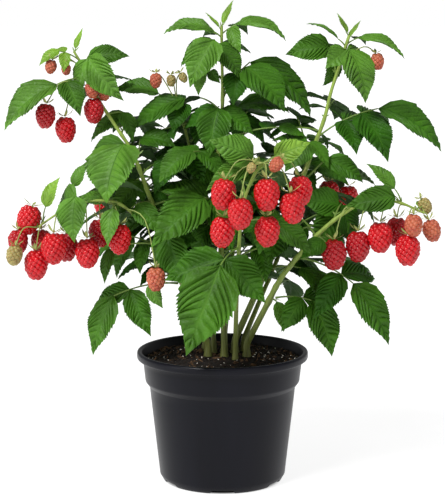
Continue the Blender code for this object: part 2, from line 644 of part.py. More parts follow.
def grow_plant():
    # Limbs first, then fruit, then leaves: what comes later keeps clear of what is there.
    limbs = grow_limbs()
    room = Room()
    for name, limb in limbs.items():
        points = [limb.point(i / 24) for i in range(25)]
        room.take(Room.shape(*tube_skin(points, limb.radius(0.3))), name)
    masses = {}
    orders = []
    for k, name in enumerate(limbs):
        below = 0
        for i, habit in enumerate(LIMBS[name]["leaves"]):
            inside = habit["at"] >= LIMBS[name]["crown"]
            below += not inside
            owner = crown_name(name) if inside else f"leaf_{short_name(name)}_{below}"
            orders.append((0 if habit["hub"] else 2, name, owner, habit, 100 * k + i))
        orders += [(1, name, crown_name(name), habit, 0) for habit in LIMBS[name]["berries"]]
    orders.sort(key=lambda order: order[0])
    for rank, name, owner, habit, seed in orders:
        if rank == 1:
            grown = grow_berry(limbs[name], habit, room, owner)
        else:
            grown = grow_leaf(limbs[name], name, habit, room, owner, seed)
        if not grown:
            print("no room on", name, "at", round(habit["at"], 3))
            continue
        mass = masses.setdefault(owner, dict(limb=name, leaves=[], berries=[]))
        mass["berries" if rank == 1 else "leaves"].append(grown)
    return limbs, dict(sorted(masses.items()))


def material(name, colour, roughness):
    made = bpy.data.materials.new(name)
    made.use_nodes = True
    shader = made.node_tree.nodes["Principled BSDF"]
    shader.inputs["Base Color"].default_value = (*colour, 1.0)
    shader.inputs["Roughness"].default_value = roughness
    return made


def add_object(name, mesh, home, look=None, smooth=False):
    made = bpy.data.objects.new(name, mesh)
    home.objects.link(made)
    if look:
        mesh.materials.clear()
        mesh.materials.append(look)
    for polygon in mesh.polygons:
        polygon.use_smooth = smooth
    return made


def evaluated_mesh(source):
    bpy.context.view_layer.update()
    mesh = bpy.data.meshes.new_from_object(source.evaluated_get(bpy.context.evaluated_depsgraph_get()))
    mesh.transform(source.matrix_world)
    return mesh


def drop(thing):
    data = thing.data
    bpy.data.objects.remove(thing)
    if isinstance(data, bpy.types.Mesh) and not data.users:
        bpy.data.meshes.remove(data)
    elif isinstance(data, bpy.types.Curve) and not data.users:
        bpy.data.curves.remove(data)


def face_out(solid):
    if solid.calc_volume(signed=True) < 0:
        bmesh.ops.reverse_faces(solid, faces=solid.faces)


def weld(mesh, distance):
    solid = bmesh.new()
    solid.from_mesh(mesh)
    bmesh.ops.remove_doubles(solid, verts=solid.verts, dist=distance)
    face_out(solid)
    solid.to_mesh(mesh)
    solid.free()
    return mesh


def add_helper(name, data, home):
    made = bpy.data.objects.new(name, data)
    home.objects.link(made)
    made.hide_render = True
    return made


def tube_mesh(points, radii, home, resolution=2):
    # a bevelled curve with closed ends
    curve = bpy.data.curves.new("tube", "CURVE")
    curve.dimensions = "3D"
    curve.use_fill_caps = True
    curve.bevel_depth = 1.0
    curve.bevel_resolution = resolution
    spline = curve.splines.new("POLY")
    spline.points.add(len(points) - 1)
    for spot, point, radius in zip(spline.points, points, radii):
        spot.co = (*point, 1.0)
        spot.radius = radius
    source = add_helper("tube", curve, home)
    mesh = evaluated_mesh(source)
    drop(source)
    return weld(mesh, 1e-6)


def limb_tube(limb, low, high, home):
    rings = [along / limb.length for along in limb.along]
    shares = [low, *(share for share in rings if low + 0.012 < share < high - 0.012), high]
    return tube_mesh([limb.point(s) for s in shares], [limb.radius(s) for s in shares], home)


def bmesh_mesh(solid, name):
    mesh = bpy.data.meshes.new(name)
    solid.to_mesh(mesh)
    solid.free()
    return mesh


def pull(solid, face, station):
    # extrudes a four-sided face to its next cross-section
    face = bmesh.ops.extrude_discrete_faces(solid, faces=[face])["faces"][0]
    middle, side, up, wide, thick = station
    old = face.calc_center_median()
    for vertex in face.verts:
        a = math.copysign(1, (vertex.co - old).dot(side))
        b = math.copysign(1, (vertex.co - old).dot(up))
        vertex.co = middle + side * (a * wide) + up * (b * thick)
    return face


def pull_blade(solid, face, blade):
    for share in RINGS[blade["rings"]][1:-1]:
        face = pull(solid, face, blade_station(blade, share))
    face = bmesh.ops.extrude_discrete_faces(solid, faces=[face])["faces"][0]
    bmesh.ops.pointmerge(solid, verts=face.verts[:], merge_co=blade["arc"].point(1.0))


def stalk_station(stalk, share):
    _, face, side = stalk.axes(share)
    thick = STALK_RADIUS * (1 - 0.15 * share)
    return stalk.point(share), side, face, thick, thick


def leaf_mesh(grown):
    # One compound leaf, extruded from the foot of its stalk: on the way the sides of a short
    # piece of stalk are kept, and the side leaflets are extruded from them.
    stalk = grown["stalk"]
    half = NODE_LENGTH / 2 / stalk.length
    pairs = sorted({blade["at"] for blade in grown["blades"]} - {1.0})
    shares = sorted({0.0, 1.0, *(at + end * half for at in pairs for end in (-1, 1))})
    shares += [0.5 * (a + b) for a, b in zip(shares, shares[1:]) if (b - a) * stalk.length > LONG_PIECE]
    shares.sort()
    solid = bmesh.new()
    bmesh.ops.create_cube(solid, size=1.0)
    for vertex in solid.verts:
        middle, side, face, wide, thick = stalk_station(stalk, shares[vertex.co.x > 0])
        vertex.co = middle + side * (2 * vertex.co.y * wide) + face * (2 * vertex.co.z * thick)
    ahead = stalk.axes(shares[1])[0]
    solid.normal_update()
    front = max(solid.faces, key=lambda each: each.calc_center_median().dot(ahead))
    bearers = []
    for a, b in zip(shares[1:], shares[2:]):
        front = pull(solid, front, stalk_station(stalk, b))
        pair = [at for at in pairs if a - 1e-6 < at < b + 1e-6]
        if pair and (b - a) * stalk.length < 1.1 * NODE_LENGTH:
            _, up, side = stalk.axes(b)
            flanks = [other for edge in front.edges for other in edge.link_faces if other is not front]
            bearers.append((pair[0], side, flanks))
    ends = [blade for blade in grown["blades"] if blade["at"] == 1.0]
    jobs = [(front, blade) for blade in ends]
    for at, side, flanks in bearers:
        for blade in (each for each in grown["blades"] if each["at"] == at):
            out = blade["arc"].ahead
            middle = stalk.point(at)
            jobs.append((max(flanks, key=lambda each: (each.calc_center_median() - middle).dot(out)), blade))
    for face, blade in jobs:
        pull_blade(solid, face, blade)
    face_out(solid)
    bmesh.ops.triangulate(solid, faces=solid.faces)
    return bmesh_mesh(solid, "leaf")


def berry_mesh(berry, home):
    # the fruit's stalk and the berry are one curve that swells at its end
    height = berry["width"] * BERRY_STRETCH
    points = list(berry["stalk"])
    radii = [PEDICEL_RADIUS] * len(points)
    for down, swell in BERRY_PROFILE:
        points.append(berry["top"] - berry["up"] * (down * height))
        radii.append(swell * berry["width"] / 2)
    return tube_mesh(points, radii, home, 1)


def mass_meshes(limb, habit, mass, fused, home):
    # every piece of one mass, stem first
    meshes = []
    if fused:
        meshes.append(limb_tube(limb, habit["crown"] + GAP / limb.length, 1.0, home))
    meshes += [leaf_mesh(grown) for grown in mass["leaves"]]
    meshes += [berry_mesh(berry, home) for berry in mass["berries"]]
    return meshes


def open_edges(mesh):
    solid = bmesh.new()
    solid.from_mesh(mesh)
    count = sum(len(edge.link_faces) != 2 for edge in solid.edges)
    solid.free()
    return count


def islands(solid):
    # the separate closed bodies of a mesh, as lists of faces
    left = set(solid.faces)
    found = []
    while left:
        queue = [left.pop()]
        body = []
        while queue:
            face = queue.pop()
            body.append(face)
            for edge in face.edges:
                for other in edge.link_faces:
                    if other in left:
                        left.discard(other)
                        queue.append(other)
        found.append(body)
    return found


def body_volume(body):
    total = 0.0
    for face in body:
        a = face.verts[0].co
        for b, c in zip(face.verts[1:], face.verts[2:]):
            total += a.dot(b.co.cross(c.co)) / 6
    return total


def keep_main_body(mesh, name):
    # drops loose scraps, and fills hollows that the fusing has sealed
    solid = bmesh.new()
    solid.from_mesh(mesh)
    bodies = sorted(islands(solid), key=body_volume, reverse=True)
    for body in bodies[1:]:
        print(name, "drops a body of", round(body_volume(body) * 1e9, 3), "cubic mm")
        bmesh.ops.delete(solid, geom=body, context="FACES")
    loose = [vertex for vertex in solid.verts if not vertex.link_faces]
    bmesh.ops.delete(solid, geom=loose, context="VERTS")
    bmesh.ops.triangulate(solid, faces=solid.faces)
    solid.to_mesh(mesh)
    solid.free()


def fuse(meshes, name, home):
    # one Boolean union joins all the pieces of a mass
    first = add_helper(name, meshes[0], home)
    if len(meshes) == 1:
        mesh = evaluated_mesh(first)
        drop(first)
        return mesh
    pieces = bpy.data.collections.new("pieces")
    bpy.context.scene.collection.children.link(pieces)
    for mesh in meshes[1:]:
        add_helper("piece", mesh, pieces)
    for solver in ("EXACT", "MANIFOLD"):
        union = first.modifiers.new("union", "BOOLEAN")
        union.operation = "UNION"
        union.operand_type = "COLLECTION"
        union.collection = pieces
        union.solver = solver
        joined = evaluated_mesh(first)
        first.modifiers.remove(union)
        weld(joined, 2e-6)
        if not open_edges(joined):
            break
        print(name, solver, "leaves", open_edges(joined), "open edges")
    for piece in list(pieces.objects):
        drop(piece)
    bpy.data.collections.remove(pieces)
    drop(first)
    keep_main_body(joined, name)
    return joined


def turned_mesh(profile, home, name):
    # a profile of radius and height, turned about the upright axis
    mesh = bpy.data.meshes.new(name)
    mesh.from_pydata([(r, 0.0, z) for r, z in profile], [(i, i + 1) for i in range(len(profile) - 1)], [])
    source = add_helper(name, mesh, home)
    screw = source.modifiers.new("turn", "SCREW")
    screw.axis = "Z"
    screw.angle = 2 * math.pi
    screw.steps = POT_SIDES
    screw.render_steps = POT_SIDES
    screw.use_merge_vertices = True
    screw.merge_threshold = 1e-5
    turned = evaluated_mesh(source)
    drop(source)
    return weld(turned, 1e-6)


def wall_radius(height):
    # the inside of the pot's plain wall
    share = height / WALL_HEIGHT
    return POT_FOOT_RADIUS + 4 * MM + (POT_WALL_RADIUS - POT_FOOT_RADIUS - 4 * MM) * share - POT_WALL


def build_pot(home, helpers):
    top_of_step = WALL_HEIGHT + STEP_HEIGHT
    lip_under = POT_HEIGHT - LIP_HEIGHT
    profile = [
        (0.0, 0.0), (POT_FOOT_RADIUS - 2 * MM, 0.0), (POT_FOOT_RADIUS + 1 * MM, 1.8 * MM),
        (POT_FOOT_RADIUS + 4 * MM, 7 * MM), (POT_WALL_RADIUS, WALL_HEIGHT),
        (POT_BAND_RADIUS - 3 * MM, top_of_step), (POT_BAND_RADIUS, lip_under - 1 * MM),
        (POT_RADIUS - 1.5 * MM, lip_under + 0.5 * MM), (POT_RADIUS, lip_under + 3 * MM),
        (POT_RADIUS, POT_HEIGHT - 2 * MM), (POT_RADIUS - 1.5 * MM, POT_HEIGHT),
        (POT_RADIUS - 4 * MM, POT_HEIGHT), (POT_RADIUS - 5.8 * MM, POT_HEIGHT - 2 * MM),
        (POT_BAND_RADIUS - 3 * MM - POT_WALL, top_of_step), (wall_radius(WALL_HEIGHT), WALL_HEIGHT - 1 * MM),
        (wall_radius(FOOT_CURVE), FOOT_CURVE), (POT_FOOT_RADIUS - 3 * MM, POT_FLOOR), (0.0, POT_FLOOR),
    ]
    mesh = turned_mesh(profile, helpers, "pot")
    pot = add_object("pot", mesh, home)
    across, along, high = DRAIN_SIZE
    cutters = bpy.data.collections.new("drain_cutters")
    helpers.children.link(cutters)
    for i in range(DRAIN_COUNT):
        turned = -math.pi / 2 + 2 * math.pi * i / DRAIN_COUNT
        block = bmesh.new()
        bmesh.ops.create_cube(block, size=1.0)
        for vertex in block.verts:
            x = POT_FOOT_RADIUS + vertex.co.x * along
            y = vertex.co.y * across
            z = -1 * MM + (vertex.co.z + 0.5) * (high + 1 * MM)
            out = Vector((math.cos(turned), math.sin(turned), 0.0))
            vertex.co = out * x + UP.cross(out) * y + UP * z
        add_helper("drain", bmesh_mesh(block, "drain"), cutters)
    cut = pot.modifiers.new("drains", "BOOLEAN")
    cut.operation = "DIFFERENCE"
    cut.operand_type = "COLLECTION"
    cut.collection = cutters
    cut.solver = "EXACT"
    finished = evaluated_mesh(pot)
    pot.modifiers.remove(cut)
    for block in list(cutters.objects):
        drop(block)
    bpy.data.collections.remove(cutters)
    drop(pot)
    keep_main_body(finished, "pot")
    look = material("pot_plastic", (0.022, 0.023, 0.026), 0.42)
    made = add_object("pot", finished, home, look, smooth=True)
    finished.set_sharp_from_angle(angle=math.radians(35))
    return made


def build_compost(home, helpers):
    side_top = SOIL_TOP - SOIL_DIP
    band_inside = POT_BAND_RADIUS - 3 * MM - POT_WALL
    rise = (side_top - WALL_HEIGHT - STEP_HEIGHT) / (POT_HEIGHT - 2 * MM - WALL_HEIGHT - STEP_HEIGHT)
    top_radius = band_inside + (POT_RADIUS - 5.8 * MM - band_inside) * rise
    profile = [
        (0.0, POT_FLOOR + GAP), (POT_FOOT_RADIUS - 3 * MM - 2 * GAP, POT_FLOOR + GAP),
        (wall_radius(FOOT_CURVE) - 2 * GAP, FOOT_CURVE + GAP),
        (wall_radius(WALL_HEIGHT) - 2 * GAP, WALL_HEIGHT),
        (band_inside - 2 * GAP, WALL_HEIGHT + STEP_HEIGHT + GAP),
        (top_radius - 2 * GAP, side_top), (SOIL_FLAT, SOIL_TOP), (0.0, SOIL_TOP),
    ]
    mesh = turned_mesh(profile, helpers, "compost")
    keep_main_body(mesh, "compost")
    return add_object("compost", mesh, home, material("compost", (0.035, 0.022, 0.014), 0.95))


def build():
    for old in list(bpy.data.objects):
        bpy.data.objects.remove(old)
    home = bpy.data.collections.new("raspberry_plant")
    bpy.context.scene.collection.children.link(home)
    helpers = bpy.data.collections.new("helpers")
    bpy.context.scene.collection.children.link(helpers)

    build_pot(home, helpers)
    build_compost(home, helpers)

    limbs, masses = grow_plant()
    cane_look = material("cane_bark", (0.20, 0.30, 0.08), 0.6)
    leaf_look = material("leaf_green", (0.07, 0.22, 0.03), 0.55)
    for name, limb in limbs.items():
        mesh = limb_tube(limb, 0.0, LIMBS[name]["crown"], helpers)
        keep_main_body(mesh, name)
        add_object(name, mesh, home, cane_look, smooth=True)
    for name, mass in masses.items():
        fused = name.startswith("crown")
        meshes = mass_meshes(limbs[mass["limb"]], LIMBS[mass["limb"]], mass, fused, helpers)
        add_object(name, fuse(meshes, name, helpers), home, leaf_look)
    bpy.data.collections.remove(helpers)
    count = sum(len(polygon.vertices) - 2 for made in home.objects for polygon in made.data.polygons)
    print(len(home.objects), "solids,", count, "triangles")


build()
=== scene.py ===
# Raspberry plant with fruit, in a black nursery pot. Metres, +Z up, seen from -Y.
# The growing rule comes first: limbs, fruit and leaves find room one after another.
# Then come the finishes, and each kind of piece: leaves, stalks, canes, fruit, compost and pot.
import json
import math
import random

import bmesh
import bpy
import numpy as np
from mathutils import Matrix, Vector
from mathutils.bvhtree import BVHTree
from mathutils.geometry import interpolate_bezier

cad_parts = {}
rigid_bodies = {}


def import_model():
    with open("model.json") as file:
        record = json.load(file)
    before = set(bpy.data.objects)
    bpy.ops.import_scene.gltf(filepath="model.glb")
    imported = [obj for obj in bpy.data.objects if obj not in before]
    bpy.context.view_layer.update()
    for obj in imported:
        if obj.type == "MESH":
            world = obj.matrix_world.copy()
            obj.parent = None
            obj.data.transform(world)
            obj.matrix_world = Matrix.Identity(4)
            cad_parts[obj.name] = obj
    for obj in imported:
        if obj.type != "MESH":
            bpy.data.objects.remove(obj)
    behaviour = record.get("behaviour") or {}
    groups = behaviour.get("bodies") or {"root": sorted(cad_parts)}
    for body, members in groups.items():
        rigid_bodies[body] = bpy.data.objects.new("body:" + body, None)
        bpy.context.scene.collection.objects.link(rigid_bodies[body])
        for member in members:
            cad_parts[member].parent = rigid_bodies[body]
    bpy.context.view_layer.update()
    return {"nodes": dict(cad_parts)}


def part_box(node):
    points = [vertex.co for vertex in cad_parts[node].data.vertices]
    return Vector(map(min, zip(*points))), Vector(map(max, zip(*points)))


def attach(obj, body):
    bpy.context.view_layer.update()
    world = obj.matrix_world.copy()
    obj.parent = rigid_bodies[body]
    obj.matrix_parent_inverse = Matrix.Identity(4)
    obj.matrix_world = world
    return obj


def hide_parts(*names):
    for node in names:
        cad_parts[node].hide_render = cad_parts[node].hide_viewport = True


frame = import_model()
helpers = bpy.data.collections.new("helpers")
bpy.context.scene.collection.children.link(helpers)
print("frame loaded:", len(frame["nodes"]), "nodes")

mm = 0.001
upWay = Vector((0.0, 0.0, 1.0))
frontWay = Vector((0.0, -1.0, 0.0))
gap = 0.3 * mm  # between solids that meet

potShape = {
    "radius": 95 * mm,  # over the rolled rim
    "height": 146 * mm,
    "footRadius": 66 * mm,
    "wallRadius": 81.3 * mm,  # where the plain wall meets the band
    "bandRadius": 88.6 * mm,
    "wall": 1.8 * mm,
    "floor": 3.0 * mm,
    "wallHeight": 107.5 * mm,
    "stepHeight": 5.0 * mm,
    "lipHeight": 9 * mm,
    "sides": 160,
    "drains": 6,
    "drainWidth": 28 * mm,
    "drainDepth": 24 * mm,
    "drainHeight": 4 * mm,
    "drainTaper": 0.16,  # how much narrower a notch is at its top
}
soilShape = {"top": 140 * mm, "flat": 46 * mm, "dip": 4 * mm}
caneShape = {
    "flare": 1.35,  # thickness at the soil, over the plain cane's
    "flareHeight": 14 * mm,
    "ringSpacing": 32 * mm,
    "leastSlant": 0.35,  # sine of the flattest angle at which a bough may leave
    "skinPieces": 24,  # of the tube that keeps a limb's room
    "skinAt": 0.3,  # where on the limb that tube's radius is taken
}
leafShape = {
    "halfWidth": 0.31,  # half the width over the length
    "outline": (3.31, 0.65, 1.22),  # scale and powers of the egg shape, see halfWidth
    "thickness": 0.012,  # of the solids' leaflets, over the length
    "rootAt": 0.09,  # where a leaflet's skin starts, and its half width there
    "rootWidth": 0.4,
    "skinAt": (0.17, 0.45, 0.74),
    "pairSpread": 66,  # degrees between a side leaflet and the leaf's axis
    "lowPairMore": 12,  # and more degrees for the lower pair
    "pairSize": 0.8,
    "lowPairSize": 0.62,
    "pairAt": 0.74,  # where on the stalk a pair of leaflets sits
    "lowPairAt": 0.46,
    "looseTurn": (-7, 7),  # how much leaflets differ
    "looseSize": (0.94, 1.05),
    "looseNod": (0.85, 1.15),
    "looseRoll": (-10, 10),
    "baseNod": 0.25,  # the share of its nod that a leaflet takes at its base
    "facing": (0.7, 0.9),  # weights of outwards and of the front, for leaves in front of
    "facingDepth": 45 * mm,
    "stalkRadius": 1.15 * mm,
    "stalkFoot": 1.45,  # half a stalk's width at its foot, over its radius
    "stalkPieces": 4,
    "stalkStretch": 1.35,  # a stalk with pairs is longer than the length given
    "steepRise": 75,  # degrees, above which a stalk bends outwards
    "leastSlant": 0.4,
    "room": 0.8 * mm,  # kept free round each leaflet
    "footRoom": 5 * mm,  # of a stalk, not tested against its own limb
    "overSoil": 4 * mm,  # how far leaflets stay over the compost
}
fruitShape = {
    "stretch": 1.2,
    "broad": 0.14,  # how much wider the shoulders are
    "stalkRadius": 0.8 * mm,
    "stalkPieces": 2,
    "shortest": 8 * mm,  # a stalk's least span
    "lift": 0.25,  # how far a stalk rises, over its span
    "reachOut": 0.45,  # how far it goes outwards before it bends
    "hang": 0.45,  # how far it hangs down, over its span
    "nudges": (0, 3, -3, 6, -6, 9),  # mm to the front, where the first place is taken
    "nudgeDrop": 0.3,  # how far a moved berry hangs lower, over its nudge
}

# Tries for a leaflet whose first place is taken: turn, extra nod, size
bladeTries = [
    (0, 0, 1.0), (9, 0, 1.0), (-9, 0, 1.0), (0, 14, 1.0), (0, -14, 1.0), (18, 8, 0.95), (-18, 8, 0.95),
    (0, 30, 0.92), (12, -18, 0.9), (-12, -18, 0.9), (26, 18, 0.85), (-26, 18, 0.85), (0, 0, 0.72),
    (20, -20, 0.7), (-20, -20, 0.7), (0, 40, 0.65), (0, 0, 0.5),
]
stalkTurns = (0, 24, -24, 48, -48, 75, -75)
goldenAngle = 137.5


def leaf(at, heading, rise, sag, stalk, blade, count=3, nod=65, lean=0.6, slim=1.0):
    # at: share of the way up the limb. heading: 0 to the right, 90 away from the front.
    # The stalk leaves at rise degrees above level and bends down by sag degrees.
    # stalk and blade are lengths in mm; nod is how far the blades curl down.
    return dict(
        at=at, heading=heading, rise=rise, sag=sag, stalk=stalk * mm, blade=blade * mm, count=count,
        nod=nod, lean=lean, slim=slim, hub=None, spread=leafShape["pairSpread"],
        pair=leafShape["pairSize"], sides=(1, -1), tone=None)


def reach(at, hub, tip, count=3, nod=50, lean=0.75, slim=1.0, spread=leafShape["pairSpread"],
          pair=leafShape["pairSize"], sides=(1, -1), sag=30, tone=None):
    # A leaf that shows in the outline: its stalk ends at hub and its end leaflet at tip, in mm.
    # tone picks its green, from 0, the darkest, to 4: it paints the leaf's light and shade as one of the lit
    # and shaded greens.
    return dict(
        at=at, hub=Vector(hub) * mm, tip=Vector(tip) * mm, count=count, nod=nod, lean=lean,
        slim=slim, spread=spread, pair=pair, sides=sides, sag=sag, tone=tone)


def fruit(at, x, y, z, width, stage, tilt=0):
    # a berry whose top is at x, y, z in mm; it hangs, tilted to the side by tilt degrees
    return dict(at=at, top=Vector((x, y, z)) * mm, width=width * mm, stage=stage, tilt=tilt)


def spiral(count, first, last, heading, blade, stalk, rise=38, sag=25):
    # leaves at the golden angle up a cane, smaller towards its tip
    leaves = []
    for i in range(count):
        share = i / (count - 1)
        size = blade * (1 - 0.35 * share)
        leaves.append(leaf(
            first + (last - first) * share, heading + goldenAngle * i, rise + 12 * share, sag,
            stalk * (1 - 0.5 * share), size, 5 if i % 3 == 0 else 3, 55 + 9 * (i % 3), 0.5))
    return leaves


